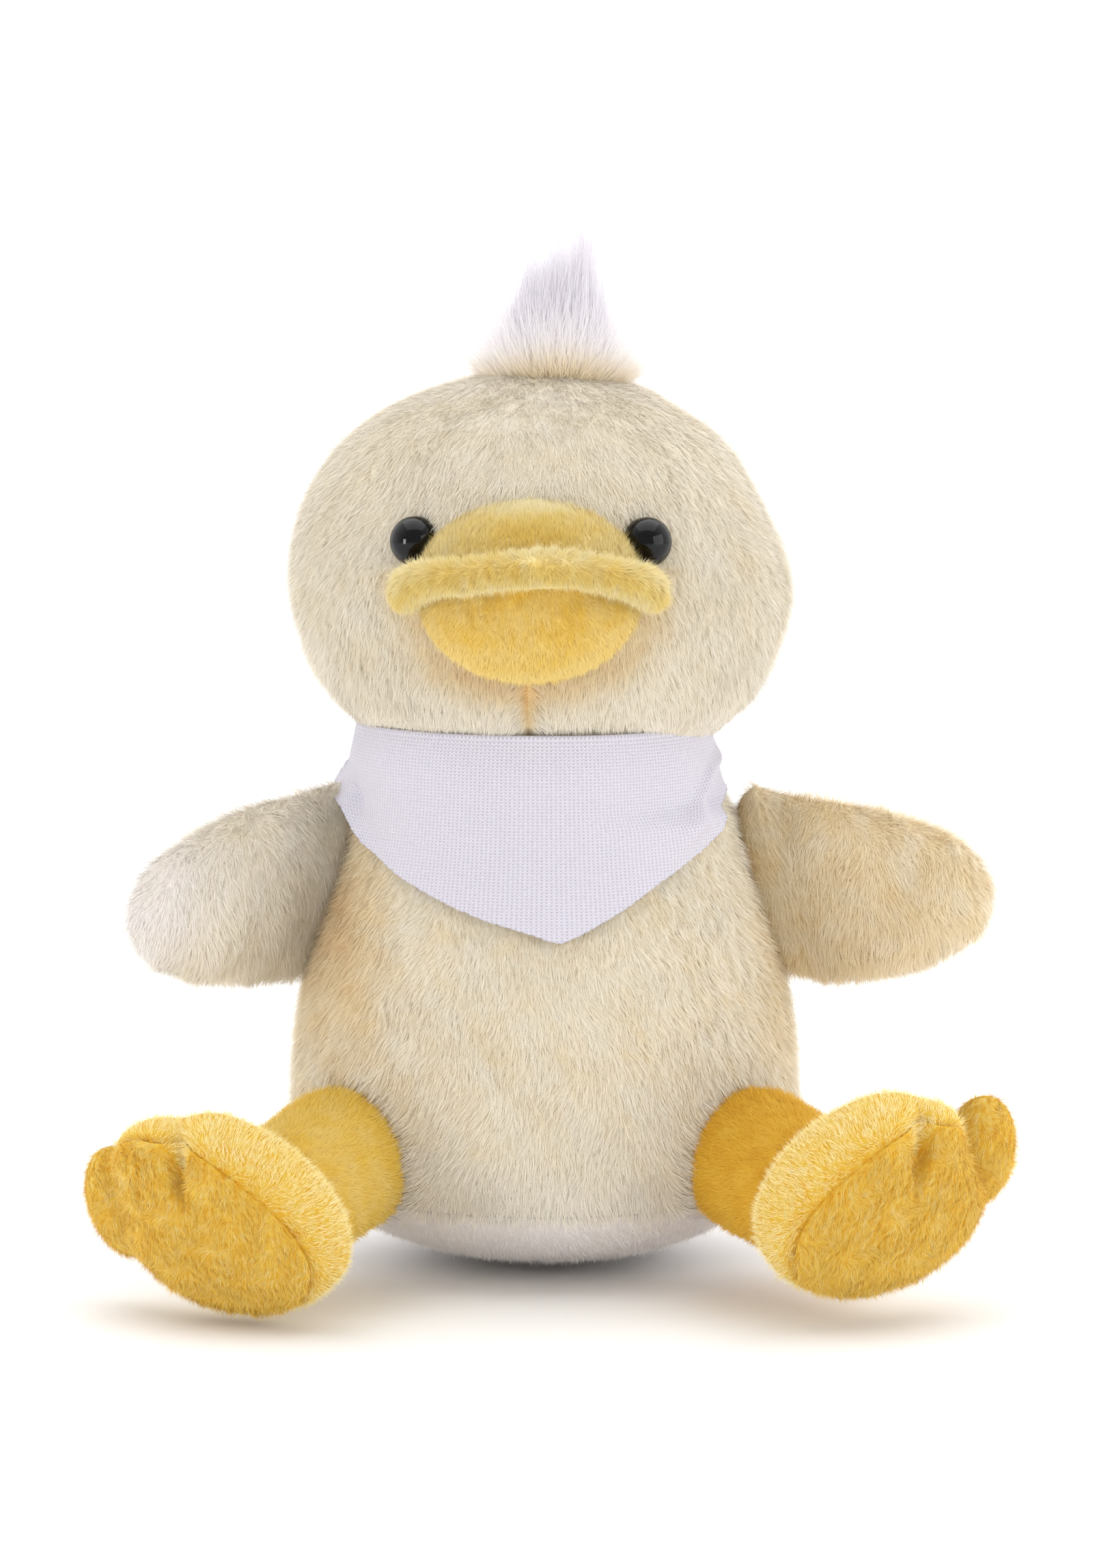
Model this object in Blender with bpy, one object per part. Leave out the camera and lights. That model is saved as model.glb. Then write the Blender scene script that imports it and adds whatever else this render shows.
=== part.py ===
# Seated plush duck: sewn skins over stuffing, with a knitted bandana.
# Metres, +Z up. The duck faces -Y and sits on z = 0. Left is -X, as seen from in front.
import math

import bmesh
import bpy
from mathutils import Matrix, Vector

# Clearances and walls
GAP = 0.0003  # between sewn or nested neighbours
SKIN_WALL = 0.0026  # backing cloth with its pressed pile
FLAT_DEPTH = 0.0005  # what the floor takes off a rounded underside
OVERRUN = 0.004  # how far a cutter runs past what it cuts

# Head: a ball below its middle, lower and flatter above it
HEAD_RADIUS = 0.0415
HEAD_CROWN = 0.0300
HEAD_X = -0.001
HEAD_Z = 0.1150
NECK_OPENING_RADIUS = 0.014

# Neck: the plug of stuffing that the head turns on
NECK_RADIUS = 0.018
NECK_DEPTH = 0.0055  # below the head's lowest point

# Face, turned a little to the left of the head's own front
FACE_YAW = math.radians(-2.7)
EYE_SPREAD = math.radians(27.6)
EYE_RADIUS = 0.0039
EYE_RISE = 0.0055  # above the head's middle
EYE_SINK = 0.0021  # from the pile's face to the eye's middle
STEM_RADIUS = 0.0011
WASHER_RADIUS = 0.0048
WASHER_THICKNESS = 0.0012
WASHER_DEPTH = 0.0075  # from the pile's face

# Upper beak: a dome over a thick rolled lip
DOME_HALF_WIDTH = 0.0178
DOME_REACH = 0.0175
DOME_HEIGHT = 0.0125
DOME_RISE = -0.0002  # above the head's middle, as the other rises of the beak
BEAK_SINK = 0.004  # of the beak's root into the head
BEAK_TILT = math.radians(0.7)
LIP_HALF_WIDTH = 0.0216
LIP_REACH = 0.0170
LIP_RADIUS = 0.0042
LIP_DEPTH_RADIUS = 0.0046
LIP_RISE = 0.0035
LIP_DROOP = 0.0085

# Lower beak: a rounded pad under the lip
CHIN_HALF_WIDTH = 0.0178
CHIN_REACH = 0.0135
CHIN_HALF_HEIGHT = 0.0138
CHIN_RISE = -0.0032

# Tuft on the crown
TUFT_HEIGHT = 0.026
TUFT_HALF_WIDTH = 0.0137
TUFT_HALF_DEPTH = 0.0085
TUFT_LEAN = 0.0055
TUFT_X = 0.0018
TUFT_SINK = 0.003
TUFT_SHARES = ((0, 1), (0.26, 0.86), (0.48, 0.67), (0.7, 0.45), (0.88, 0.2))

# Body: a pear, with its underside as a rounded bowl
BODY_HALF_WIDTH = 0.0425
BODY_DEPTH_SHARE = 0.9
NECK_DEPTH_SHARE = 1.02
BELLY_Z = 0.026
BODY_TOP_Z = 0.094
UNDERSIDE_POWER = 2.35
BODY_SHARES = ((0, 1), (0.2, 0.975), (0.42, 0.895), (0.64, 0.775), (0.765, 0.735), (0.86, 0.715), (1, 0.66))
BASE_SEAM_Z = 0.0125
POUCH_MARGIN = 0.0205  # inside the belly's half width
POUCH_HEIGHT = 0.012

# Tail, low on the back
TAIL_Z = 0.03
TAIL_LENGTH = 0.017
TAIL_HALF_WIDTH = 0.009
TAIL_HALF_HEIGHT = 0.0065
TAIL_RISE = math.radians(28)

# Bandana: one triangle round the neck, its point on the chest
BANDANA_CLOTH = 0.001
BANDANA_TOP_Z = 0.0878
BANDANA_FRONT_RISE = 0.0016
BANDANA_POINT_Z = 0.0572
BANDANA_SIDE_Z = 0.0765
BANDANA_BACK_Z = 0.0808
BANDANA_POINT_X = 0.002
BANDANA_HALF_WIDTH = 0.032
BANDANA_LEFT_POWER = 1.8  # how far the left edge bows below a straight line
BANDANA_LIFT_SHARE = 0.8  # of the way to the side, where the edge starts to rise to the back
BANDANA_BULGE = 0.0022
BANDANA_FLARE = 0.0018
KNOT_RADIUS = 0.0048
KNOT_TAIL_LENGTH = 0.0085
KNOT_TAIL_RADIUS = 0.0026
KNOT_Z = 0.0835
KNOT_DOWN_SHARE = 0.5  # of the band's height

# Wings: paddles that hang from a nearly upright seam
WING_SEAM_HALF = 0.0160
WING_SEAM_Z = 0.0608
WING_SEAM_Y = -0.002
WING_ROOT_RADIUS = 0.0062
WING_STAND_OFF = 0.0025
WING_LENGTH = 0.0325
WING_FULLNESS = 0.009
WING_DROOP = 0.006
WING_DROOP_POWER = 1.3  # how late along the wing it droops
WING_FORWARD = {"left": math.radians(36), "right": math.radians(10)}
WING_HEIGHT_SHARES = ((0, 1), (0.3, 1.0), (0.6, 0.86), (0.85, 0.6), (0.96, 0.33))
WING_THICK_SHARES = ((0, 0.69), (0.12, 0.69), (0.45, 1), (0.7, 0.93), (0.88, 0.62), (0.96, 0.36))

# Legs: stubs with a ball at each end
HIP_RADIUS = 0.013
HIP_INSET = 0.0105  # inside the belly's half width
HIP_Y = -0.0275
HIP_Z = 0.0215
ANKLE_RADIUS = 0.0118
LEG_SPREAD = 0.0085  # from the hip outwards to the ankle
ANKLE_Y = -0.041
LEFT_ANKLE_Z = 0.0180
RIGHT_ANKLE_Z = 0.0192
LEG_OPENING_SHARE = 0.66

# Feet: puffed, webbed, three toes, soles to the front
FOOT_HALF_LENGTH = 0.0228
FOOT_HALF_WIDTH = 0.0173
FOOT_HALF_THICKNESS = 0.0088
FOOT_TO_ANKLE = 0.0128
ANKLE_BACK = 0.008
NOTCH_SHARE = 0.07
PINCH_SHARE = 0.34
NOTCHES = (math.radians(10), math.radians(55))  # between the toes, from the foot's long axis
NOTCH_SPREAD = math.radians(12)
SOLE_NORMAL_SHARES = (0.40, -0.88, -0.25)  # of the right foot, along X, Y and Z
TOE_DIRECTION_SHARES = (0.87, 0.24, 0.45)  # of the right foot

# Fineness of the round forms
HEAD_SEGMENTS = 24
BODY_SEGMENTS = 24
INNER_SEGMENTS = 14
LIMB_SEGMENTS = 18
CUTTER_SEGMENTS = 20
DISH_SEGMENTS = 40
SMALL_SEGMENTS = 12
BODY_STEPS = 10

CREAM = (0.80, 0.72, 0.55)
WHITE = (0.86, 0.83, 0.87)
PALE_YELLOW = (0.83, 0.68, 0.28)
GOLDEN = (0.80, 0.53, 0.09)
BLACK = (0.004, 0.004, 0.005)
FILLING = (0.85, 0.84, 0.82)

SIDES = (("left", -1), ("right", 1))
HEAD_CENTRE = Vector((HEAD_X, 0, HEAD_Z))
NECK_BOTTOM = HEAD_CENTRE - Vector((0, 0, HEAD_RADIUS + NECK_DEPTH))
UP = Vector((0, 0, 1))


def clear_scene():
    for old in list(bpy.data.objects):
        bpy.data.objects.remove(old, do_unlink=True)


def finish_with(obj, colour, roughness):
    """Give an object its own material."""
    material = bpy.data.materials.new(obj.name)
    material.use_nodes = True
    shader = material.node_tree.nodes["Principled BSDF"]
    shader.inputs["Base Color"].default_value = (*colour, 1)
    shader.inputs["Roughness"].default_value = roughness
    shader.inputs["Metallic"].default_value = 0
    obj.data.materials.append(material)
    return obj


def add_object(name, bm):
    """Turn a bmesh into an object with smooth faces that point outwards."""
    bmesh.ops.recalc_face_normals(bm, faces=bm.faces)
    if bm.calc_volume(signed=True) < 0:
        bmesh.ops.reverse_faces(bm, faces=bm.faces)
    mesh = bpy.data.meshes.new(name)
    bm.to_mesh(mesh)
    bm.free()
    mesh.shade_smooth()
    obj = bpy.data.objects.new(name, mesh)
    bpy.context.scene.collection.objects.link(obj)
    return obj


def as_cutter(obj):
    obj.hide_render = True
    obj.display_type = "WIRE"
    return obj


def carve(obj, *cutters, operation="DIFFERENCE"):
    """Cut, join or cross an object with each of the others."""
    for cutter in cutters:
        modifier = obj.modifiers.new(cutter.name, "BOOLEAN")
        modifier.operation = operation
        modifier.solver = "EXACT"
        modifier.object = as_cutter(cutter)
    return obj


def eased(table, place):
    """Value at a place on a smooth curve through the (place, value) pairs of a table."""
    last = len(table) - 2
    i = next((k for k in range(last) if place <= table[k + 1][0]), last)
    before, start, end = table[max(i - 1, 0)], table[i], table[i + 1]
    after = table[min(i + 2, last + 1)]
    span = end[0] - start[0]
    slope_in = span * (end[1] - before[1]) / (end[0] - before[0])
    slope_out = span * (after[1] - start[1]) / (after[0] - start[0])
    t = min(max((place - start[0]) / span, 0), 1)
    rise = t * t * (3 - 2 * t)
    return (
        start[1] * (1 - rise)
        + end[1] * rise
        + slope_in * t * (1 - t) ** 2
        - slope_out * t * t * (1 - t)
    )


def loft(name, rings, segments, first, last):
    """Closed form through rings (centre, side, up), with a pole before and after them."""
    bm = bmesh.new()
    turns = [2 * math.pi * k / segments for k in range(segments)]
    loops = [
        [bm.verts.new(centre + side * math.cos(a) + rise * math.sin(a)) for a in turns]
        for centre, side, rise in rings
    ]
    poles = bm.verts.new(first), bm.verts.new(last)
    for k in range(segments):
        after = (k + 1) % segments
        bm.faces.new((poles[0], loops[0][after], loops[0][k]))
        bm.faces.new((poles[1], loops[-1][k], loops[-1][after]))
        for lower, upper in zip(loops, loops[1:]):
            bm.faces.new((lower[k], lower[after], upper[after], upper[k]))
    return add_object(name, bm)


def ball(name, place, segments, radii=(1, 1, 1), turn=None):
    """Ellipsoid at a place, with three half sizes, turned by a rotation matrix."""
    bm = bmesh.new()
    bmesh.ops.create_uvsphere(bm, u_segments=segments, v_segments=segments // 2, radius=1)
    turn = turn or Matrix.Identity(3)
    matrix = Matrix.Translation(place) @ turn.to_4x4() @ Matrix.Diagonal((*radii, 1))
    bmesh.ops.transform(bm, matrix=matrix, verts=bm.verts)
    return add_object(name, bm)


def rod(name, start, end, radius, segments):
    """Plain cylinder between two points."""
    bm = bmesh.new()
    length = (end - start).length
    bmesh.ops.create_cone(
        bm, cap_ends=True, segments=segments, radius1=radius, radius2=radius, depth=length
    )
    turn = UP.rotation_difference(end - start).to_matrix().to_4x4()
    matrix = Matrix.Translation((start + end) / 2) @ turn
    bmesh.ops.transform(bm, matrix=matrix, verts=bm.verts)
    return add_object(name, bm)


def box(name, low, high):
    bm = bmesh.new()
    bmesh.ops.create_cube(bm, size=1)
    matrix = Matrix.Translation((low + high) / 2) @ Matrix.Diagonal((*(high - low), 1))
    bmesh.ops.transform(bm, matrix=matrix, verts=bm.verts)
    return add_object(name, bm)


def round_outside(radius, segments):
    """Radius of a faceted ball whose flats stay outside a true ball of the given radius."""
    return radius / math.cos(math.pi / segments) ** 2


# Head

def head_form(name, grow, segments):
    """The head's outer form, grown by a distance: round below, an ellipsoid above."""
    radius = HEAD_RADIUS + grow
    crown = HEAD_CROWN + grow
    steps = segments // 2
    rings = []
    for k in range(1, steps):
        polar = math.pi * k / steps
        height = crown if polar > math.pi / 2 else radius
        centre = HEAD_CENTRE - UP * height * math.cos(polar)
        width = radius * math.sin(polar)
        rings.append((centre, Vector((width, 0, 0)), Vector((0, width, 0))))
    return loft(name, rings, segments, HEAD_CENTRE - UP * radius, HEAD_CENTRE + UP * crown)


def face_direction(yaw):
    """Level direction out of the face, turned from its front."""
    angle = FACE_YAW + yaw
    return Vector((math.sin(angle), -math.cos(angle), 0))


def eye_axis(side):
    """Place on the pile's face and direction in which an eye looks."""
    level = face_direction(side * EYE_SPREAD)
    rise_share = EYE_RISE / HEAD_CROWN
    reach = HEAD_RADIUS * math.sqrt(1 - rise_share ** 2)
    place = HEAD_CENTRE + level * reach + UP * EYE_RISE
    outward = level * reach / HEAD_RADIUS ** 2 + UP * EYE_RISE / HEAD_CROWN ** 2
    return place, outward.normalized()


def eye_with_stem(name, side, grow):
    """A domed eye on its stem, which reaches through the washer."""
    place, outward = eye_axis(side)
    middle = place - outward * EYE_SINK
    radius = EYE_RADIUS + grow
    if grow:
        radius = round_outside(radius, SMALL_SEGMENTS)
    dome = ball(name, middle, SMALL_SEGMENTS, (radius,) * 3)
    end = place - outward * (WASHER_DEPTH + 2 * WASHER_THICKNESS + grow)
    stem = rod(name + "_stem", middle, end, STEM_RADIUS + grow, SMALL_SEGMENTS)
    return carve(dome, stem, operation="UNION")


def washer_disc(name, side, grow):
    place, outward = eye_axis(side)
    outer = place - outward * (WASHER_DEPTH - grow)
    inner = place - outward * (WASHER_DEPTH + WASHER_THICKNESS + grow)
    return rod(name, outer, inner, WASHER_RADIUS + grow, SMALL_SEGMENTS)


def make_eyes():
    for label, side in SIDES:
        finish_with(eye_with_stem("eye_" + label, side, 0), BLACK, 0.05)
        place, outward = eye_axis(side)
        washer = washer_disc("eye_washer_" + label, side, 0)
        deep = place - outward * (WASHER_DEPTH + OVERRUN)
        hole = rod("washer_hole_" + label, place, deep, STEM_RADIUS + GAP, SMALL_SEGMENTS)
        finish_with(carve(washer, hole), WHITE, 0.4)


def eye_pockets():
    cutters = []
    for label, side in SIDES:
        cutters.append(eye_with_stem("eye_pocket_" + label, side, GAP))
        cutters.append(washer_disc("washer_pocket_" + label, side, GAP))
    return cutters


def make_head():
    pockets = eye_pockets()
    skin = head_form("head_skin", 0, HEAD_SEGMENTS)
    cavity = head_form("head_cavity", -SKIN_WALL, INNER_SEGMENTS)
    bottom = HEAD_CENTRE - UP * (HEAD_RADIUS + OVERRUN)
    opening = rod("neck_opening", bottom, HEAD_CENTRE, NECK_OPENING_RADIUS, CUTTER_SEGMENTS)
    finish_with(carve(skin, cavity, opening, *pockets), CREAM, 0.95)
    filling = head_form("head_stuffing", -SKIN_WALL - GAP, INNER_SEGMENTS)
    finish_with(carve(filling, *pockets), FILLING, 1)


# Beak

def beak_frame():
    """Root of the beak on the face, with its width, forward and rise directions."""
    forward = face_direction(0)
    across = Vector((-forward.y, forward.x, 0))
    tilt = Matrix.Rotation(-BEAK_TILT, 3, -forward)
    root = HEAD_CENTRE + forward * (HEAD_RADIUS - BEAK_SINK)
    return root, tilt @ across, forward, tilt @ UP


def beak_lip(name, grow):
    """The rolled lip: a thick bar along an arch that bows forwards and droops at its ends."""
    root, across, forward, rise = beak_frame()
    steps = 12
    rings = []
    for k in range(1, steps):
        sweep = math.pi * (k / steps - 0.5)
        bow = math.cos(sweep)
        centre = (
            root
            + across * LIP_HALF_WIDTH * math.sin(sweep)
            + forward * LIP_REACH * bow
            + rise * (LIP_RISE - LIP_DROOP * (1 - bow))
        )
        outward = (across * math.sin(sweep) + forward * bow).normalized()
        fullness = math.sqrt(bow)
        rings.append(
            (
                centre,
                outward * (LIP_DEPTH_RADIUS + grow) * fullness,
                rise * (LIP_RADIUS + grow) * fullness,
            )
        )
    low = root + rise * (LIP_RISE - LIP_DROOP)
    reach = across * (LIP_HALF_WIDTH + grow)
    return loft(name, rings, SMALL_SEGMENTS, low - reach, low + reach)


def beak_ball(name, half_width, reach, half_height, height, grow):
    """Ellipsoid at a height over the beak's root."""
    root, across, forward, rise = beak_frame()
    turn = Matrix((across, -forward, rise)).transposed()
    radii = (half_width + grow, reach + grow, half_height + grow)
    return ball(name, root + rise * height, LIMB_SEGMENTS, radii, turn)


def upper_beak_ball(name, grow):
    return beak_ball(name, DOME_HALF_WIDTH, DOME_REACH, DOME_HEIGHT, DOME_RISE, grow)


def lower_beak_ball(name, grow):
    return beak_ball(name, CHIN_HALF_WIDTH, CHIN_REACH, CHIN_HALF_HEIGHT, CHIN_RISE, grow)


def make_beak():
    seat = head_form("beak_seat", GAP, HEAD_SEGMENTS)
    upper = upper_beak_ball("upper_beak", 0)
    lip = beak_lip("lip_roll", 0)
    carve(upper, lip, operation="UNION")
    eye_rooms = [eye_with_stem("eye_room_" + label, side, GAP) for label, side in SIDES]
    hollow = upper_beak_ball("upper_cavity", -SKIN_WALL)
    finish_with(carve(upper, hollow, seat, *eye_rooms), PALE_YELLOW, 0.9)
    filling = upper_beak_ball("upper_beak_stuffing", -SKIN_WALL - GAP)
    finish_with(carve(filling, seat), FILLING, 1)
    upper_room = upper_beak_ball("upper_room", GAP)
    lip_room = beak_lip("lip_room", GAP)
    lower = lower_beak_ball("lower_beak", 0)
    hollow = lower_beak_ball("lower_cavity", -SKIN_WALL)
    finish_with(carve(lower, hollow, upper_room, lip_room, seat), GOLDEN, 0.9)
    filling = lower_beak_ball("lower_beak_stuffing", -SKIN_WALL - GAP)
    finish_with(carve(filling, upper_room, lip_room, seat), FILLING, 1)


def make_tuft():
    foot = HEAD_CENTRE + UP * (HEAD_CROWN - TUFT_SINK) + Vector((TUFT_X, 0, 0))
    height = TUFT_HEIGHT + TUFT_SINK
    steps = 8
    rings = []
    for k in range(steps):
        share = k / steps
        width_share = eased(TUFT_SHARES, share)
        centre = foot + UP * height * share + Vector((TUFT_LEAN * share, 0, 0))
        side = Vector((TUFT_HALF_WIDTH * width_share, 0, 0))
        depth = Vector((0, TUFT_HALF_DEPTH * width_share, 0))
        rings.append((centre, side, depth))
    top = foot + UP * height + Vector((TUFT_LEAN, 0, 0))
    tuft = loft("tuft", rings, SMALL_SEGMENTS, foot, top)
    finish_with(carve(tuft, head_form("tuft_seat", GAP, HEAD_SEGMENTS)), WHITE, 0.95)


# Body

def body_width(height):
    """Half width of the pear at a height."""
    if height < BELLY_Z:
        drop_share = (BELLY_Z - height) / (BELLY_Z + FLAT_DEPTH)
        return BODY_HALF_WIDTH * (1 - drop_share ** UNDERSIDE_POWER) ** (1 / UNDERSIDE_POWER)
    return BODY_HALF_WIDTH * eased(BODY_SHARES, (height - BELLY_Z) / (BODY_TOP_Z - BELLY_Z))


def body_depth(height):
    """Half depth of the pear at a height: it grows rounder towards the neck."""
    rise_share = min(max((height - BELLY_Z) / (BODY_TOP_Z - BELLY_Z), 0), 1)
    share = BODY_DEPTH_SHARE + (NECK_DEPTH_SHARE - BODY_DEPTH_SHARE) * rise_share
    return body_width(height) * share


def body_heights(low, high, steps):
    """Heights that crowd towards the underside, where the pear turns in fast."""
    middle_steps = steps // 2
    below = [
        low + (BELLY_Z - low) * (1 - math.cos(math.pi / 2 * k / middle_steps))
        for k in range(1, middle_steps + 1)
    ]
    above = [BELLY_Z + (high - BELLY_Z) * k / middle_steps for k in range(1, middle_steps + 1)]
    return below + above


def body_form(name, grow, segments, steps):
    """The pear, grown by a distance all round."""
    rings = []
    low, high = -FLAT_DEPTH - grow, BODY_TOP_Z + grow
    for height in body_heights(low, high, steps):
        inside = min(max(height, -FLAT_DEPTH), BODY_TOP_Z)
        if height < BELLY_Z:
            inside = BELLY_Z - (BELLY_Z - height) * (BELLY_Z + FLAT_DEPTH) / (BELLY_Z - low)
        width = body_width(inside) + grow
        depth = body_depth(inside) + grow
        rings.append((Vector((0, 0, height)), Vector((width, 0, 0)), Vector((0, depth, 0))))
    return loft(name, rings, segments, UP * low, UP * high)


def slab(name, low, high):
    reach = 2 * BODY_HALF_WIDTH
    return box(name, Vector((-reach, -reach, low)), Vector((reach, reach, high)))


def limb_rooms():
    """The hollows that the head, the neck, the wings and the legs move in."""
    radius = round_outside(HEAD_RADIUS + GAP, HEAD_SEGMENTS)
    rooms = [ball("head_room", HEAD_CENTRE, HEAD_SEGMENTS, (radius,) * 3)]
    wide = round_outside(NECK_RADIUS + GAP, CUTTER_SEGMENTS)
    rooms.append(rod("neck_room", NECK_BOTTOM - UP * GAP, HEAD_CENTRE, wide, CUTTER_SEGMENTS))
    rooms += [wing_root("wing_room_" + label, label, side) for label, side in SIDES]
    radius = round_outside(HIP_RADIUS + GAP, CUTTER_SEGMENTS)
    hips = [
        ball("hip_room_" + label, hip(side), CUTTER_SEGMENTS, (radius,) * 3)
        for label, side in SIDES
    ]
    return rooms + hips, hips


def make_body():
    rooms, hips = limb_rooms()
    floor = slab("floor", -OVERRUN, 0)
    cavity = body_form("body_cavity", -SKIN_WALL, INNER_SEGMENTS, BODY_STEPS)
    skin = body_form("body_skin", 0, BODY_SEGMENTS, BODY_STEPS)
    below = slab("below_seam", -OVERRUN, BASE_SEAM_Z)
    finish_with(carve(skin, below, cavity, *rooms), CREAM, 0.95)
    panel = body_form("base_panel", 0, BODY_SEGMENTS, BODY_STEPS)
    above = slab("above_seam", BASE_SEAM_Z - GAP, BODY_TOP_Z + OVERRUN)
    finish_with(carve(panel, above, cavity, floor, *hips), WHITE, 0.95)
    pouch_low = SKIN_WALL + GAP
    pouch_middle = Vector((0, 0, pouch_low + POUCH_HEIGHT / 2))
    pouch_radius = BODY_HALF_WIDTH - POUCH_MARGIN
    pouch_radii = (pouch_radius, pouch_radius, POUCH_HEIGHT / 2)
    pouch = ball("bean_pouch", pouch_middle, INNER_SEGMENTS, pouch_radii)
    finish_with(pouch, FILLING, 0.8)
    room_radii = [round_outside(r + GAP, INNER_SEGMENTS) for r in pouch_radii]
    pouch_room = ball("pouch_room", pouch_middle, INNER_SEGMENTS, room_radii)
    mouth = rod("pouch_mouth", Vector((0, 0, 0)), pouch_middle, room_radii[0], INNER_SEGMENTS)
    filling = body_form("body_stuffing", -SKIN_WALL - GAP, INNER_SEGMENTS, BODY_STEPS)
    finish_with(carve(filling, pouch_room, mouth, *rooms), FILLING, 1)


def make_neck():
    """The plug: round about the upright axis, hollowed by the head's ball on top."""
    plug = rod("neck_stuffing", NECK_BOTTOM, HEAD_CENTRE, NECK_RADIUS, CUTTER_SEGMENTS)
    radius = round_outside(HEAD_RADIUS + GAP, DISH_SEGMENTS)
    finish_with(carve(plug, ball("head_dish", HEAD_CENTRE, DISH_SEGMENTS, (radius,) * 3)), FILLING, 1)


def make_tail():
    back = body_depth(TAIL_Z)
    outward = Vector((0, math.cos(TAIL_RISE), math.sin(TAIL_RISE)))
    rise = Vector((0, -math.sin(TAIL_RISE), math.cos(TAIL_RISE)))
    turn = Matrix((Vector((1, 0, 0)), outward, rise)).transposed()
    place = Vector((0, back, TAIL_Z))
    radii = (TAIL_HALF_WIDTH, TAIL_LENGTH, TAIL_HALF_HEIGHT)
    tail = ball("tail", place, SMALL_SEGMENTS, radii, turn)
    finish_with(carve(tail, body_form("tail_seat", GAP, BODY_SEGMENTS, BODY_STEPS)), CREAM, 0.95)


# Bandana

def bandana_bottom(angle):
    """Height of the lower edge at an angle round the neck, 0 in front."""
    if math.cos(angle) < 0:
        return BANDANA_BACK_Z
    aside = BANDANA_HALF_WIDTH * math.sin(angle) - BANDANA_POINT_X
    if aside < 0:
        reach_share = (-aside / (BANDANA_HALF_WIDTH + BANDANA_POINT_X)) ** BANDANA_LEFT_POWER
    else:
        reach_share = aside / (BANDANA_HALF_WIDTH - BANDANA_POINT_X)
    height = BANDANA_POINT_Z + (BANDANA_SIDE_Z - BANDANA_POINT_Z) * reach_share
    lift_share = max(reach_share - BANDANA_LIFT_SHARE, 0) / (1 - BANDANA_LIFT_SHARE)
    return height + (BANDANA_BACK_Z - BANDANA_SIDE_Z) * lift_share


def bandana_point(angle, share, lift):
    """Point of the cloth: an angle round the neck, a share of the way down, a lift off the body."""
    ahead = max(math.cos(angle), 0)
    top = BANDANA_TOP_Z + BANDANA_FRONT_RISE * ahead
    height = top + (bandana_bottom(angle) - top) * share
    bulge = BANDANA_BULGE * math.cos(math.pi / 2 * share) * ahead
    out = lift + bulge + BANDANA_FLARE * share * abs(math.sin(angle))
    across = (body_width(height) + out) * math.sin(angle)
    return Vector((across, -(body_depth(height) + out) * math.cos(angle), height))


def make_bandana():
    around = 2 * BODY_SEGMENTS
    down = 4
    inner_lift = GAP + FLAT_DEPTH
    bm = bmesh.new()
    grids = []
    for lift in (inner_lift, inner_lift + BANDANA_CLOTH):
        grids.append(
            [
                [
                    bm.verts.new(bandana_point(2 * math.pi * i / around, j / down, lift))
                    for j in range(down + 1)
                ]
                for i in range(around)
            ]
        )
    inner, outer = grids
    for i in range(around):
        after = (i + 1) % around
        for j in range(down):
            bm.faces.new((inner[i][j], inner[after][j], inner[after][j + 1], inner[i][j + 1]))
            bm.faces.new((outer[i][j], outer[i][j + 1], outer[after][j + 1], outer[after][j]))
        for j in (0, down):
            bm.faces.new((inner[i][j], outer[i][j], outer[after][j], inner[after][j]))
    cloth = add_object("bandana", bm)
    radius = round_outside(HEAD_RADIUS + GAP, HEAD_SEGMENTS)
    finish_with(carve(cloth, ball("chin_room", HEAD_CENTRE, HEAD_SEGMENTS, (radius,) * 3)), WHITE, 0.9)


def make_knot():
    back = bandana_point(math.pi, KNOT_DOWN_SHARE, FLAT_DEPTH + BANDANA_CLOTH + 2 * GAP)
    place = Vector((0, back.y + KNOT_RADIUS, KNOT_Z))
    knot = ball("bandana_knot", place, SMALL_SEGMENTS, (KNOT_RADIUS,) * 3)
    for label, side in SIDES:
        spread = Vector((side * KNOT_TAIL_LENGTH, KNOT_TAIL_RADIUS, -KNOT_TAIL_LENGTH / 2))
        turn = Vector((1, 0, 0)).rotation_difference(spread).to_matrix()
        radii = (KNOT_TAIL_LENGTH, KNOT_TAIL_RADIUS / 2, KNOT_TAIL_RADIUS)
        end = ball("knot_end_" + label, place + spread / 2, SMALL_SEGMENTS, radii, turn)
        carve(knot, end, operation="UNION")
    finish_with(knot, WHITE, 0.9)


# Wings

def wing_frame(label, side):
    """Seam middle with the outward, seam and thickness directions of a wing."""
    high, low = WING_SEAM_Z + WING_SEAM_HALF, WING_SEAM_Z - WING_SEAM_HALF
    lean = body_width(high) - body_width(low)
    seam = Vector((side * lean, 0, high - low)).normalized()
    turn = Matrix.Rotation(-side * WING_FORWARD[label], 3, seam)
    outward = turn @ seam.cross(Vector((0, side, 0))).normalized()
    if outward.x * side < 0:
        outward = -outward
    x = side * (body_width(WING_SEAM_Z) + WING_STAND_OFF)
    return Vector((x, WING_SEAM_Y, WING_SEAM_Z)), outward, seam, seam.cross(outward)


def wing_root(name, label, side):
    """The hollow that a wing's root turns in."""
    middle, outward, seam, flat = wing_frame(label, side)
    turn = Matrix((outward, flat, seam)).transposed()
    thin = round_outside(WING_ROOT_RADIUS + GAP, SMALL_SEGMENTS)
    tall = round_outside(WING_SEAM_HALF + GAP, SMALL_SEGMENTS)
    return ball(name, middle, SMALL_SEGMENTS, (thin, thin, tall), turn)


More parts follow.
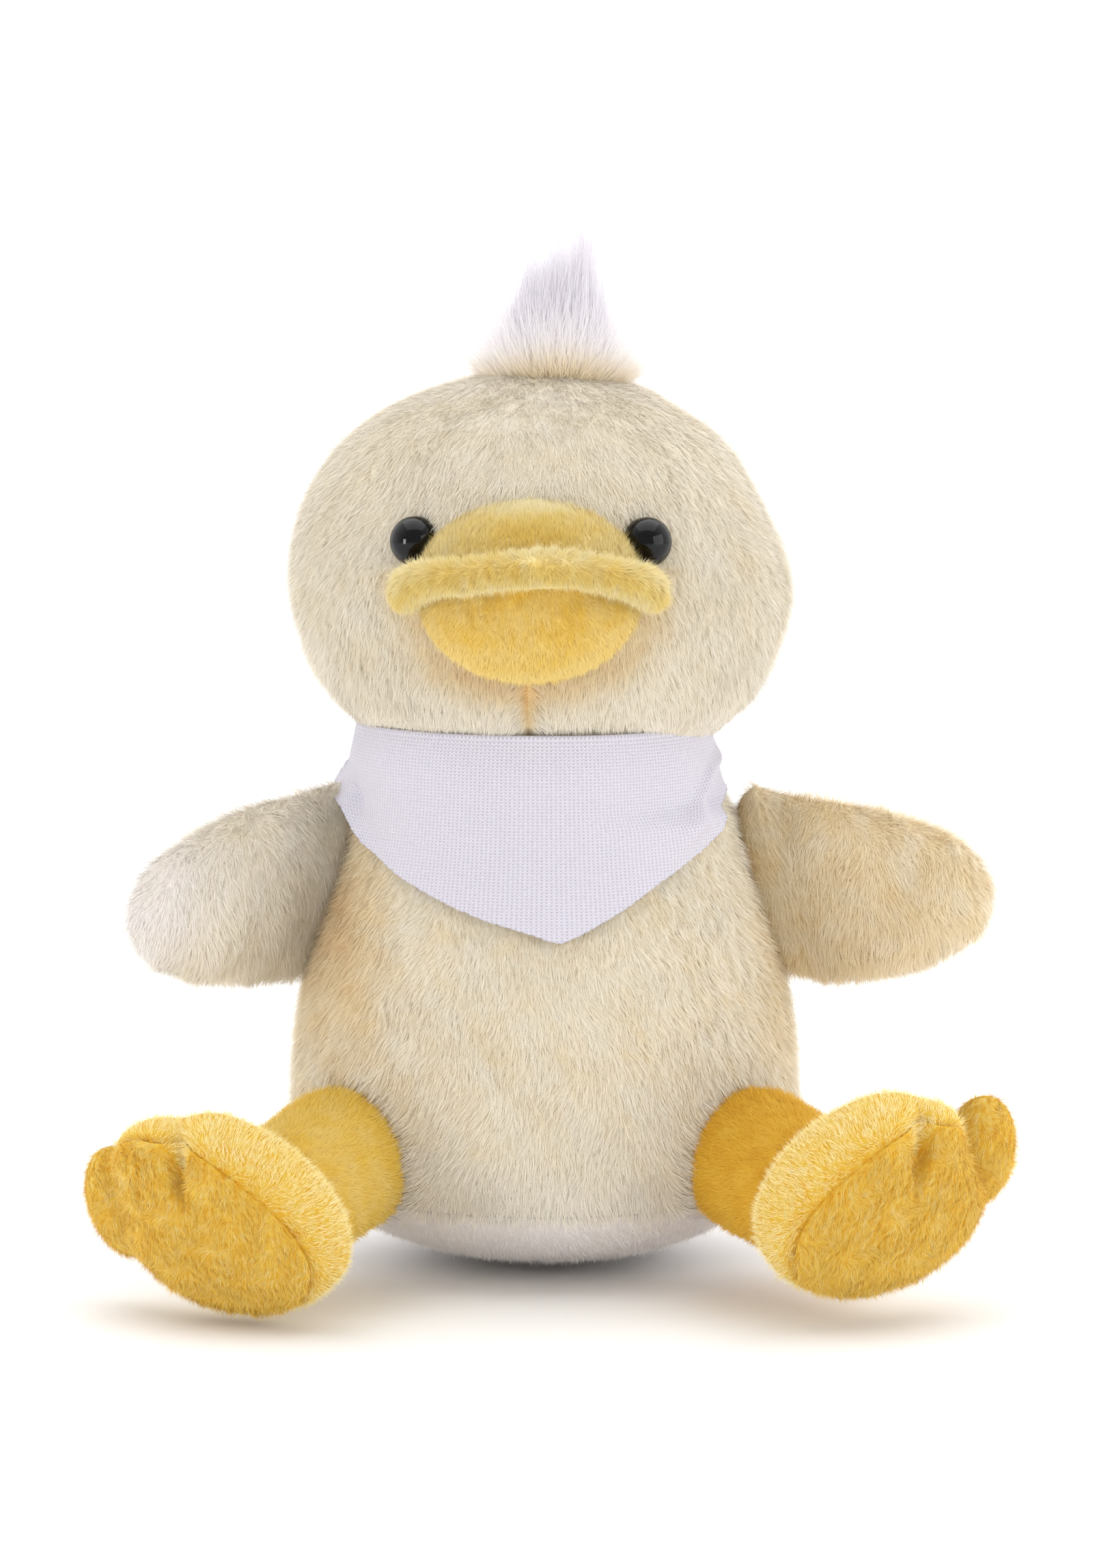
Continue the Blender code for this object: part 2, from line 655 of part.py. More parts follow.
def wing_form(name, label, side, grow, segments, open_root=False):
    """The paddle: an egg round the seam, then rings that swell and taper to the tip."""
    middle, outward, seam, flat = wing_frame(label, side)
    root_radius = WING_ROOT_RADIUS + grow
    root_half = WING_SEAM_HALF + grow
    rings = []
    root_steps = 4
    for k in range(1, root_steps):
        angle = math.pi / 2 * k / root_steps
        centre = middle - outward * root_radius * math.cos(angle)
        fullness = 1 if open_root else math.sin(angle)
        rings.append((centre, seam * root_half * fullness, flat * root_radius * fullness))
    steps = 9
    length = WING_LENGTH + grow
    for k in range(steps):
        share = math.sin(math.pi / 2 * k / steps)
        half = WING_SEAM_HALF * eased(WING_HEIGHT_SHARES, share) + grow
        thick = WING_FULLNESS * eased(WING_THICK_SHARES, share) + grow
        centre = middle + outward * length * share - seam * WING_DROOP * share ** WING_DROOP_POWER
        rings.append((centre, seam * half, flat * thick))
    tip = middle + outward * length - seam * WING_DROOP
    start = middle - outward * (root_radius + (OVERRUN if open_root else 0))
    return loft(name, rings, segments, start, tip)


def make_wing(label, side):
    skin = wing_form("wing_" + label, label, side, 0, LIMB_SEGMENTS)
    cavity = wing_form("wing_cavity_" + label, label, side, -SKIN_WALL, SMALL_SEGMENTS, True)
    finish_with(carve(skin, cavity), CREAM, 0.95)
    filling = wing_form("wing_stuffing_" + label, label, side, -SKIN_WALL - 2 * GAP, SMALL_SEGMENTS)
    return [skin, finish_with(filling, FILLING, 1)]


# Legs and feet

def hip(side):
    return Vector((side * (BODY_HALF_WIDTH - HIP_INSET), HIP_Y, HIP_Z))


def ankle(side):
    x = side * (BODY_HALF_WIDTH - HIP_INSET + LEG_SPREAD)
    return Vector((x, ANKLE_Y, LEFT_ANKLE_Z if side < 0 else RIGHT_ANKLE_Z))


def leg_form(name, side, grow, segments):
    """A stub from the hip's ball to the ankle's."""
    start, end = hip(side), ankle(side)
    along = (end - start).normalized()
    across = along.cross(UP).normalized()
    rise = across.cross(along)
    rings = []
    steps = 4
    for centre, radius, turns in (
        (start, HIP_RADIUS + grow, range(1 - steps, 1)),
        (end, ANKLE_RADIUS + grow, range(steps)),
    ):
        for turn in turns:
            angle = math.pi / 2 * turn / steps
            width = radius * math.cos(angle)
            place = centre + along * radius * math.sin(angle)
            rings.append((place, across * width, rise * width))
    first = start - along * (HIP_RADIUS + grow)
    return loft(name, rings, segments, first, end + along * (ANKLE_RADIUS + grow))


def make_leg(label, side):
    skin = leg_form("leg_" + label, side, 0, LIMB_SEGMENTS)
    start, end = hip(side), ankle(side)
    along = (end - start).normalized()
    cavity = leg_form("leg_cavity_" + label, side, -SKIN_WALL, SMALL_SEGMENTS)
    bore = rod(
        "leg_bore_" + label,
        start - along * (HIP_RADIUS + OVERRUN),
        end + along * (ANKLE_RADIUS + OVERRUN),
        ANKLE_RADIUS * LEG_OPENING_SHARE,
        SMALL_SEGMENTS,
    )
    finish_with(carve(skin, cavity, bore), GOLDEN, 0.9)
    filling = leg_form("leg_stuffing_" + label, side, -SKIN_WALL - GAP, SMALL_SEGMENTS)
    return [skin, finish_with(filling, FILLING, 1)]


def foot_frame(side):
    """Foot middle with its toe, across and sole directions."""
    mirror = Matrix.Diagonal((side, 1, 1))
    sole = (mirror @ Vector(SOLE_NORMAL_SHARES)).normalized()
    toe = mirror @ Vector(TOE_DIRECTION_SHARES)
    toe = (toe - sole * toe.dot(sole)).normalized()
    across = side * sole.cross(toe)
    return ankle(side) + sole * FOOT_TO_ANKLE + toe * ANKLE_BACK, toe, across, sole


def foot_form(name, side, grow, segments):
    """A puffed oval whose front edge is drawn in between three toes."""
    middle, toe, across, sole = foot_frame(side)
    bm = bmesh.new()
    bmesh.ops.create_uvsphere(bm, u_segments=segments, v_segments=segments // 2, radius=1)
    for vert in bm.verts:
        ahead, aside, out = vert.co
        angle = math.atan2(aside, ahead)
        between = sum(math.exp(-((angle - notch) / NOTCH_SPREAD) ** 2) for notch in NOTCHES)
        edge = math.hypot(ahead, aside)
        reach = 1 - NOTCH_SHARE * between * edge
        thick = 1 - PINCH_SHARE * between * edge
        vert.co = (
            middle
            + toe * (FOOT_HALF_LENGTH + grow) * ahead * reach
            + across * (FOOT_HALF_WIDTH + grow) * aside * reach
            + sole * (FOOT_HALF_THICKNESS + grow) * out * thick
        )
    return add_object(name, bm)


def foot_half(name, side, above):
    """A block that takes away the foot's top or its sole."""
    middle, toe, across, sole = foot_frame(side)
    reach = 2 * FOOT_HALF_LENGTH
    toward = -sole if above else sole
    turn = Matrix((toe, across, sole)).transposed()
    centre = middle + toward * (reach - GAP) / 2
    bm = bmesh.new()
    bmesh.ops.create_cube(bm, size=1)
    size = Matrix.Diagonal((2 * reach, 2 * reach, reach, 1))
    matrix = Matrix.Translation(centre) @ turn.to_4x4() @ size
    bmesh.ops.transform(bm, matrix=matrix, verts=bm.verts)
    return add_object(name, bm)


def make_foot(label, side):
    radius = round_outside(ANKLE_RADIUS + GAP, CUTTER_SEGMENTS)
    dish = ball("ankle_room_" + label, ankle(side), CUTTER_SEGMENTS, (radius,) * 3)
    floor = slab("foot_floor_" + label, -2 * OVERRUN, 0)
    cavity = foot_form("foot_cavity_" + label, side, -SKIN_WALL, SMALL_SEGMENTS)
    top = foot_form("foot_top_" + label, side, 0, HEAD_SEGMENTS)
    carve(top, foot_half("sole_block_" + label, side, False), cavity, dish, floor)
    sole = foot_form("foot_sole_" + label, side, 0, HEAD_SEGMENTS)
    carve(sole, foot_half("top_block_" + label, side, True), cavity, dish, floor)
    filling = foot_form("foot_stuffing_" + label, side, -SKIN_WALL - GAP, SMALL_SEGMENTS)
    carve(filling, dish)
    finish_with(top, PALE_YELLOW, 0.9)
    finish_with(sole, GOLDEN, 0.9)
    return [top, sole, finish_with(filling, FILLING, 1)]


def hang_on(name, place, pieces):
    """Put pieces on an empty that marks their joint."""
    empty = bpy.data.objects.new(name, None)
    empty.location = place
    bpy.context.scene.collection.objects.link(empty)
    bpy.context.view_layer.update()
    for piece in pieces:
        piece.parent = empty
        piece.matrix_parent_inverse = empty.matrix_world.inverted()


def main():
    clear_scene()
    make_body()
    make_tail()
    make_bandana()
    make_knot()
    make_neck()
    make_head()
    make_eyes()
    make_beak()
    make_tuft()
    head_names = ("head_skin", "head_stuffing", "tuft", "upper_beak", "upper_beak_stuffing")
    head_names += ("lower_beak", "lower_beak_stuffing")
    head_names += ("eye_left", "eye_right", "eye_washer_left", "eye_washer_right")
    hang_on("head_turn", HEAD_CENTRE, [bpy.data.objects["neck_stuffing"]])
    hang_on("head_nod", HEAD_CENTRE, [bpy.data.objects[name] for name in head_names])
    for label, side in SIDES:
        middle, outward, seam, flat = wing_frame(label, side)
        hang_on("wing_swing_" + label, middle, make_wing(label, side))
        hang_on("leg_swing_" + label, hip(side), make_leg(label, side))
        hang_on("foot_flex_" + label, ankle(side), make_foot(label, side))
        across = foot_frame(side)[2]
        print(label, "wing seam", tuple(round(v, 5) for v in (*middle, *seam)))
        print(label, "foot across", tuple(round(v, 5) for v in (*ankle(side), *across)))


main()
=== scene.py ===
# Seated plush duck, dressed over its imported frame. Metres, +Z up, the face towards -Y.
# Left is the side at -X, as seen from in front. Every soft form is a function of (u, v), both
# from 0 to 1: u runs round it, v from one pole to the other.
import itertools
import math

import bpy
import numpy as np
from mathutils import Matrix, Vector


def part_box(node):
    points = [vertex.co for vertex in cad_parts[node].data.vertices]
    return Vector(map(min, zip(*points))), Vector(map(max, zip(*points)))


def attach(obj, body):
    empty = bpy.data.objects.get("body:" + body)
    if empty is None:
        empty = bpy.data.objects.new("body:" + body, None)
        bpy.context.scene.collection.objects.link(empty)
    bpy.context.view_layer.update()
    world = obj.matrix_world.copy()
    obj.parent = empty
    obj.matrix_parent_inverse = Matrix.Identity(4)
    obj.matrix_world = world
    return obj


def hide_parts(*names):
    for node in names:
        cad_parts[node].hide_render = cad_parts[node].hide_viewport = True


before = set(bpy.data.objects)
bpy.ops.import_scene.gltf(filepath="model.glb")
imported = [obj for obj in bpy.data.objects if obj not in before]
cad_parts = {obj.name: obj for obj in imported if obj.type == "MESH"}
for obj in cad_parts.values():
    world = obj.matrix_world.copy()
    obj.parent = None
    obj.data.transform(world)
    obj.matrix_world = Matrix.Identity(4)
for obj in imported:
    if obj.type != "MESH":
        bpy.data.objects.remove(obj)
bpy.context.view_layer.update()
print("frame loaded:", len(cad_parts), "nodes")

sides = {"left": -1, "right": 1}
upward = np.array([0.0, 0.0, 1.0])
mm = 0.001


# Vectors divided by their own length.
def unit(vectors):
    return vectors / np.maximum(np.linalg.norm(vectors, axis=-1, keepdims=True), 1e-12)


# 0 below low, 1 above high, and 3t^2 - 2t^3 between them.
def ramp(values, low, high):
    t = np.clip((values - low) / (high - low), 0, 1)
    return t * t * (3 - 2 * t)


# 1 below low, 0 above high, and that ramp turned round between them.
def fall(values, low, high):
    return 1 - ramp(values, low, high)


# A bell of height 1: e to the power of -(distance / width) squared.
def bell(distance, width):
    return np.exp(-((distance / width) ** 2))


# Points of a unit ball: u turns round it, and v runs from its bottom to its top.
def ball(u, v):
    turn, polar = 2 * math.pi * u, math.pi * v
    around = np.sin(polar)
    return np.stack([around * np.cos(turn), around * np.sin(turn), -np.cos(polar)], -1)


# Points of an oval about its middle: one axis times the cosine of the turn and the other times
# its sine, each times its half size.
def oval(turn, axis, half, otherAxis, otherHalf):
    return axis * (half * np.cos(turn))[:, None] + otherAxis * (otherHalf * np.sin(turn))[:, None]


# Cubic curve through (place, value) pairs. Its slope at a pair is the slope between its neighbours.
def curveThrough(pairs, at):
    xs, ys = np.array(pairs, float).T
    order = np.arange(len(xs))
    before, after = np.maximum(order - 1, 0), np.minimum(order + 1, len(xs) - 1)
    slopes = (ys[after] - ys[before]) / (xs[after] - xs[before])
    i = np.clip(np.searchsorted(xs, at, side="right") - 1, 0, len(xs) - 2)
    span = xs[i + 1] - xs[i]
    t = np.clip((at - xs[i]) / span, 0, 1)
    rise = ramp(t, 0, 1)
    bend = slopes[i] * t * (1 - t) ** 2 - slopes[i + 1] * t * t * (1 - t)
    return ys[i] * (1 - rise) + ys[i + 1] * rise + span * bend


# Smooth noise, mostly within 1 of zero: sine waves about one size long, in random directions.
def waves(places, size, seed, count=10):
    rng = np.random.default_rng(seed)
    stretch = rng.uniform(0.6, 1.5, (count, 1)) * 2 * math.pi / size
    phases = rng.uniform(0, 2 * math.pi, count)
    turns = places @ (unit(rng.normal(size=(count, 3))) * stretch).T + phases
    return np.sin(turns).sum(1) * 0.6 / math.sqrt(count / 2)


# Three random numbers for each cell of a lattice: the fraction left of a large sine.
def cellChance(cells):
    mixing = np.array([[12.99, 39.35, 73.16], [78.23, 11.14, 52.24], [37.72, 83.16, 9.15]])
    return np.modf(np.abs(np.sin(cells @ mixing + 0.37)) * 43758.5)[0]


# The nearest of scattered points, one in each lattice cell: the way to it and its random numbers.
def nearestPoint(places, size):
    cell = np.floor(places / size)
    least = np.full(len(places), np.inf)
    way, chance = np.zeros_like(places), np.zeros_like(places)
    for step in itertools.product((-1, 0, 1), repeat=3):
        corner = cell + step
        lots = cellChance(corner)
        delta = (corner + lots) * size - places
        far = (delta**2).sum(1)
        closer = far < least
        least[closer], way[closer], chance[closer] = far[closer], delta[closer], lots[closer]
    return way, chance


# Cross product of the form's two slopes, by central differences. Its length is the area that a
# unit square of (u, v) covers.
def slopesOf(form, u, v, step=1e-4):
    high, low = np.minimum(v + step, 1), np.maximum(v - step, 0)
    alongU = (form(u + step, v) - form(u - step, v)) / (2 * step)
    alongV = (form(u, high) - form(u, low)) / (high - low)[:, None]
    return np.cross(alongU, alongV)


# 1 where that cross product points out of the form, and -1 where it points in.
def turnOf(form):
    u, v = np.meshgrid(np.linspace(0, 1, 40, endpoint=False), np.linspace(0.02, 0.98, 40))
    places = form(u.ravel(), v.ravel())
    out = (slopesOf(form, u.ravel(), v.ravel()) * (places - places.mean(0))).sum()
    return 1 if out > 0 else -1


# Puts arrays of places and of triangles or quads into a new object, with smooth faces.
def meshFrom(name, places, faceGroups, normals=None, uvName=None, uv=None):
    mesh = bpy.data.meshes.new(name)
    corners = np.concatenate([faces.ravel() for faces in faceGroups]).astype(np.int32)
    sizes = np.concatenate([np.full(len(faces), faces.shape[1]) for faces in faceGroups])
    starts = (np.cumsum(sizes) - sizes).astype(np.int32)
    mesh.vertices.add(len(places))
    mesh.vertices.foreach_set("co", places.astype(np.float32).ravel())
    mesh.loops.add(len(corners))
    mesh.loops.foreach_set("vertex_index", corners)
    mesh.polygons.add(len(starts))
    mesh.polygons.foreach_set("loop_start", starts)
    mesh.update(calc_edges=True)
    mesh.shade_smooth()
    if uv is not None:
        layer = mesh.uv_layers.new(name=uvName)
        layer.uv.foreach_set("vector", uv[corners].astype(np.float32).ravel())
    if normals is not None:
        own = mesh.attributes.new("custom_normal", "FLOAT_VECTOR", "POINT")
        own.data.foreach_set("vector", unit(normals).astype(np.float32).ravel())
    obj = bpy.data.objects.new(name, mesh)
    bpy.context.scene.collection.objects.link(obj)
    return obj


# Places and faces of a closed skin over a form: rings of u at even steps of v, and two poles.
def skinArrays(form, around, along):
    u = np.arange(around) / around
    v = np.arange(1, along) / along
    rings = form(np.tile(u, len(v)), np.repeat(v, around))
    poles = form(np.zeros(2), np.array([0.0, 1.0]))
    places = np.vstack([rings, poles])
    index = np.arange(len(v) * around).reshape(len(v), around)
    after = np.roll(index, -1, axis=1)
    quads = np.stack([index[:-1], after[:-1], after[1:], index[1:]], -1).reshape(-1, 4)
    first, last = len(places) - 2, len(places) - 1
    low = np.stack([np.full(around, first), after[0], index[0]], -1)
    high = np.stack([np.full(around, last), index[-1], after[-1]], -1)
    faces = [quads, np.vstack([low, high])]
    if turnOf(form) < 0:
        faces = [group[:, ::-1] for group in faces]
    return places, faces


# One object of the closed skins over several forms. Its map holds the tone of each place.
def skinOver(name, forms, tone, around, along):
    allPlaces, quads, triangles, count = [], [], [], 0
    for form in forms:
        places, (four, three) = skinArrays(form, around, along)
        allPlaces.append(places)
        quads.append(four + count)
        triangles.append(three + count)
        count += len(places)
    places = np.vstack(allPlaces)
    places[:, 2] = np.maximum(places[:, 2], 0.1 * mm)
    tones = np.clip(tone(places), 0.01, 0.99)
    uv = np.stack([tones, np.zeros(len(tones))], 1)
    return meshFrom(name, places, [np.vstack(quads), np.vstack(triangles)], None, "toneMap", uv)


strand = {
    "tries": 5,  # places thrown for each strand that is kept
    "nudge": 0.4,  # of a kept place, in spacings of the throws
    "uprightLie": 0.68,  # lie of a strand that stands up, as a share of the pile's
    "rootLean": 0.35,  # share of its lean that a strand has at its root
    "pullPower": 1.4,  # of the rise, for the pull towards its clump's middle
    "taper": 0.6,
    "floor": 0.05 * mm,
}


# Pile: each strand is a slim strip of `parts` steps that ends in a point. Its direction turns
# from near the normal at the root to the combed one at the tip, and neighbours lean together.
def growPile(name, form, pile, comb, tone, keep=None, size=None):
    rng = np.random.default_rng(pile["seed"])
    count, many = pile["count"], strand["tries"] * pile["count"]
    u, v = rng.random(many), rng.random(many)
    slopes = slopesOf(form, u, v)
    weight = np.linalg.norm(slopes, axis=1)
    if keep is not None:
        weight *= keep(form(u, v), unit(slopes) * turnOf(form))
    total = np.cumsum(weight)
    picked = np.searchsorted(total, (np.arange(count) + rng.random(count)) / count * total[-1])
    picked = np.minimum(picked, many - 1)
    nudge = strand["nudge"] / math.sqrt(many)
    u = u[picked] + rng.uniform(-nudge, nudge, count)
    v = np.clip(v[picked] + rng.uniform(-nudge, nudge, count), 1e-4, 1 - 1e-4)
    roots, normals = form(u, v), unit(slopesOf(form, u, v)) * turnOf(form)
    combed = comb(roots)
    combed = unit(combed - normals * (combed * normals).sum(1, keepdims=True))
    way, chance = nearestPoint(roots, pile["clump"])
    way -= normals * (way * normals).sum(1, keepdims=True)
    length = pile["length"] * (1 + pile["uneven"] * rng.uniform(-1, 1, count))
    length *= 1 + 0.5 * pile["uneven"] * (chance[:, 0] * 2 - 1)
    if size is not None:
        length *= size(roots)
    lie = pile["lie"](roots) if callable(pile["lie"]) else np.full(count, pile["lie"])
    lie = np.where(rng.random(count) < pile["upright"], lie * strand["uprightLie"], lie)
    stray = rng.normal(size=(count, 3)) * pile["stray"] + (chance * 2 - 1) * pile["sway"]
    parts, first = pile["parts"], strand["rootLean"]
    spine = [roots]
    for k in range(parts):
        lean = (lie * (first + (1 - first) * (k + 1) / parts))[:, None]
        step = unit(normals * (1 - lean) + combed * lean + stray)
        spine.append(spine[-1] + step * (length / parts)[:, None])
    for k in range(1, parts + 1):
        spine[k] = spine[k] + way * pile["pull"] * (k / parts) ** strand["pullPower"]
        spine[k][:, 2] = np.maximum(spine[k][:, 2], strand["floor"])
    ahead = unit(spine[-1] - spine[0])
    aside = unit(np.cross(normals, ahead))
    spin = rng.uniform(-1, 1, count)[:, None] * pile["spin"]
    aside = aside * np.cos(spin) + np.cross(ahead, aside) * np.sin(spin)
    tones = np.clip(tone(roots) + pile["mottle"] * rng.normal(size=count) * 0.5, 0.02, 0.98)
    rises = [np.full(count, 0.02 + 0.96 * k / parts) for k in range(parts + 1)]
    soft = unit(normals * (1 - pile["own"]) + np.cross(ahead, aside) * pile["own"])
    return stripMesh(name, spine, aside, pile["width"], tones, rises, soft)


# Strips along the lines of a spine, given as one array of places for each step. They narrow to a
# point, and their map holds the tone and the rise.
def stripMesh(name, spine, aside, width, tones, rises, soft):
    parts, count = len(spine) - 1, len(tones)
    places, maps = [], []
    for k in range(parts):
        half = width / 2 * (1 - k / parts) ** strand["taper"]
        for sign in (1, -1):
            places.append(spine[k] + aside * half * sign)
            maps.append(np.stack([tones + 0.006 * sign, rises[k]], 1))
    places.append(spine[-1])
    maps.append(np.stack([tones, rises[-1]], 1))
    per = len(places)
    pattern = []
    for k in range(parts - 1):
        pattern += [(2 * k, 2 * k + 1, 2 * k + 3), (2 * k, 2 * k + 3, 2 * k + 2)]
    pattern.append((per - 3, per - 2, per - 1))
    faces = (np.arange(count)[:, None, None] * per + np.array(pattern)[None]).reshape(-1, 3)
    places, uv = np.stack(places, 1).reshape(-1, 3), np.stack(maps, 1).reshape(-1, 2)
    return meshFrom(name, places, [faces], np.repeat(soft, per, axis=0), "OFBake", uv)


# A new material and its node tree, with the plain values set on the shader itself.
def newFinish(name, values):
    material = bpy.data.materials.new(name)
    material.use_nodes = True
    tree = material.node_tree
    shader = tree.nodes["Principled BSDF"]
    for socket, value in values.items():
        shader.inputs[socket].default_value = value
    return material, tree, shader


# A new shader node, with its settings.
def addNode(tree, kind, **settings):
    node = tree.nodes.new("ShaderNode" + kind)
    for key, value in settings.items():
        setattr(node, key, value)
    return node


# The numbers of a piece's own map, apart.
def mapParts(tree, mapName):
    place, split = addNode(tree, "UVMap", uv_map=mapName), addNode(tree, "SeparateXYZ")
    tree.links.new(place.outputs["UV"], split.inputs["Vector"])
    return split.outputs


# Fine noise with grains of a size, in the object's own coordinates.
def fineNoise(tree, size):
    coords, noise = addNode(tree, "TexCoord"), addNode(tree, "TexNoise")
    noise.inputs["Scale"].default_value = 1 / size
    tree.links.new(coords.outputs["Object"], noise.inputs["Vector"])
    return noise.outputs["Fac"]


# Bumps on a shader, from a height.
def addBump(tree, shader, height, strength, distance):
    bump = addNode(tree, "Bump")
    bump.inputs["Strength"].default_value = strength
    bump.inputs["Distance"].default_value = distance
    tree.links.new(height, bump.inputs["Height"])
    tree.links.new(bump.outputs["Normal"], shader.inputs["Normal"])


# Display colour to scene-linear, by the sRGB curve.
def linear(hexColour):
    parts = np.array([int(hexColour[i : i + 2], 16) for i in (1, 3, 5)]) / 255
    values = np.where(parts < 0.04045, parts / 12.92, ((parts + 0.055) / 1.055) ** 2.4)
    return (*values.tolist(), 1)


# A colour ramp through (place, colour) stops.
def colourRamp(tree, stops):
    node = addNode(tree, "ValToRGB")
    stripes = node.color_ramp.elements
    for place, colour in stops[2:]:
        stripes.new(place)
    for stripe, (place, colour) in zip(stripes, sorted(stops)):
        stripe.position = place
        stripe.color = linear(colour)
    return node


pileShine = {
    "Roughness": 0.75,
    "Specular IOR Level": 0.25,
    "Sheen Weight": 0.35,
    "Sheen Roughness": 0.45,
}
clothShine = {"Roughness": 0.95, "Specular IOR Level": 0.1, "Sheen Weight": 0.35}


# Pile: the map's x picks the tone and its y runs from root to tip.
def pileFinish(name, roots, tips, sheen="#FFFFFF"):
    material, tree, shader = newFinish(name, pileShine | {"Sheen Tint": linear(sheen)})
    parts = mapParts(tree, "OFBake")
    mix = addNode(tree, "Mix", data_type="RGBA")
    for stops, colour in ((roots, mix.inputs[6]), (tips, mix.inputs[7])):
        tones = colourRamp(tree, stops)
        tree.links.new(parts["X"], tones.inputs["Fac"])
        tree.links.new(tones.outputs["Color"], colour)
    tree.links.new(parts["Y"], mix.inputs["Factor"])
    tree.links.new(mix.outputs[2], shader.inputs["Base Color"])
    return material


# Backing under the pile: the map's x picks the tone, and fine noise darkens and roughens it.
def backingFinish(name, stops, sheen="#FFFFFF"):
    material, tree, shader = newFinish(name, clothShine | {"Sheen Tint": linear(sheen)})
    tones = colourRamp(tree, stops)
    tree.links.new(mapParts(tree, "toneMap")["X"], tones.inputs["Fac"])
    noise = fineNoise(tree, 0.35 * mm)
    shade = addNode(tree, "Mix", data_type="RGBA", blend_type="MULTIPLY")
    shade.inputs["Factor"].default_value = 0.2
    tree.links.new(tones.outputs["Color"], shade.inputs[6])
    tree.links.new(noise, shade.inputs[7])
    tree.links.new(shade.outputs[2], shader.inputs["Base Color"])
    addBump(tree, shader, noise, 0.6, 0.3 * mm)
    return material


# Plastic: a colour that changes a little with fine noise.
def plasticFinish(name, values, grain, colours):
    material, tree, shader = newFinish(name, values)
    tones = colourRamp(tree, list(zip((0.3, 0.8), colours)))
    tree.links.new(fineNoise(tree, grain), tones.inputs["Fac"])
    tree.links.new(tones.outputs["Color"], shader.inputs["Base Color"])
    return material


# Colours from deep to pale, at even places of the ramp, or at these four.
def stopsOf(*colours):
    places = (0, 0.35, 0.65, 1) if len(colours) == 4 else (0, 0.25, 0.5, 0.75, 1)
    return list(zip(places, colours))


creamRoots = stopsOf("#E6BE7C", "#EFDBB0", "#F3EAD6", "#F4EDE3", "#F4EDEB")
creamTips = stopsOf("#EFD09C", "#F6E7C8", "#FAF4E6", "#FBF7F0", "#FAF6F5")
# The head's cream is the body's cream made a little dimmer: painted shade that evens out the stronger
# light on the head.
shadedHeadRoots = stopsOf("#DEB374", "#E6D1A6", "#EAE0CA", "#EAE3D8", "#EAE3E0")
shadedHeadTips = stopsOf("#E6C594", "#ECDCBD", "#F0E9DA", "#F1ECE4", "#F0EBE9")
beakRoots = stopsOf("#C89A3E", "#D7B556", "#DCC16D", "#E0D09A")
beakTips = stopsOf("#D0A648", "#DDC163", "#E2CC82", "#E6DAB0")
paleRoots = stopsOf("#E6BA50", "#F1D06A", "#F5DC88", "#F8EAB8")
paleTips = stopsOf("#EBC560", "#F4D97C", "#F8E5A0", "#FAF1CE")
goldRoots = stopsOf("#D69A22", "#E2B038", "#E6C052", "#EAD084")
goldTips = stopsOf("#DEA42C", "#E6BA42", "#EACA64", "#EED890")

finishes = {
    "cream": pileFinish("creamPile", creamRoots, creamTips),
    "creamBacking": backingFinish("creamBacking", creamRoots),
    "shadedHeadCream": pileFinish("shadedHeadPile", shadedHeadRoots, shadedHeadTips),
    "shadedHeadBacking": backingFinish("shadedHeadBacking", shadedHeadRoots),
    "beak": pileFinish("beakPile", beakRoots, beakTips, "#FFF0B0"),
    "pale": pileFinish("paleYellowPile", paleRoots, paleTips, "#FFF0B0"),
    "paleBacking": backingFinish("paleYellowBacking", paleRoots, "#FFF0B0"),
    "gold": pileFinish("goldenPile", goldRoots, goldTips, "#FFD870"),
    "goldBacking": backingFinish("goldenBacking", goldRoots, "#FFD870"),
}


# Gives a piece its finish and its body, and hides the nodes that it stands for. The slot is not used.
def dress(obj, finish, body, slot, *nodes):
    obj.data.materials.append(finishes[finish] if isinstance(finish, str) else finish)
    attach(obj, body)
    if nodes:
        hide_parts(*nodes)


# A closed backing, dressed, that stands for padded nodes.
def paddedSkin(name, forms, tone, grid, look, nodes):
    skin = skinOver(name, forms, tone, *grid)
    dress(skin, *look, *nodes)


# The same tone everywhere.
def evenTone(tone):
    return lambda places: np.full(len(places), tone)


# A dressed pile over a form.
def furOver(name, form, look, pile, comb, tone, keep=None, size=None):
    dress(growPile(name, form, pile, comb, tone, keep, size), *look)


headLow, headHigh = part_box("head_skin")
head = {
    "centre": np.array([(headLow.x + headHigh.x) / 2, 0.0, headHigh.z - 30 * mm]),
    "radius": (headHigh.x - headLow.x) / 2,
    "crown": 30 * mm,
    "sink": 1.1 * mm,  # of the backing under the pile's face
    "trimRight": 0.11,  # narrower above the middle
    "trimLeft": 0.035,
    "socketWidth": 5.2 * mm,
    "socketDepth": 1.2 * mm,
    "seamX": -3.0 * mm,
    "seamTop": 98.5 * mm,
    "seamFull": 94 * mm,  # height below which the seam's groove is at full depth
    "seamWidth": 0.7 * mm,
    "seamDepth": 0.6 * mm,
    "uneven": 0.25 * mm,
    "unevenSize": 16 * mm,
    "faceYaw": math.radians(-2.7),
    "eyeSpread": math.radians(27.6),
    "eyeRise": 5.5 * mm,
    "eyeRadius": 3.9 * mm,
    "eyeSink": 2.1 * mm,
}


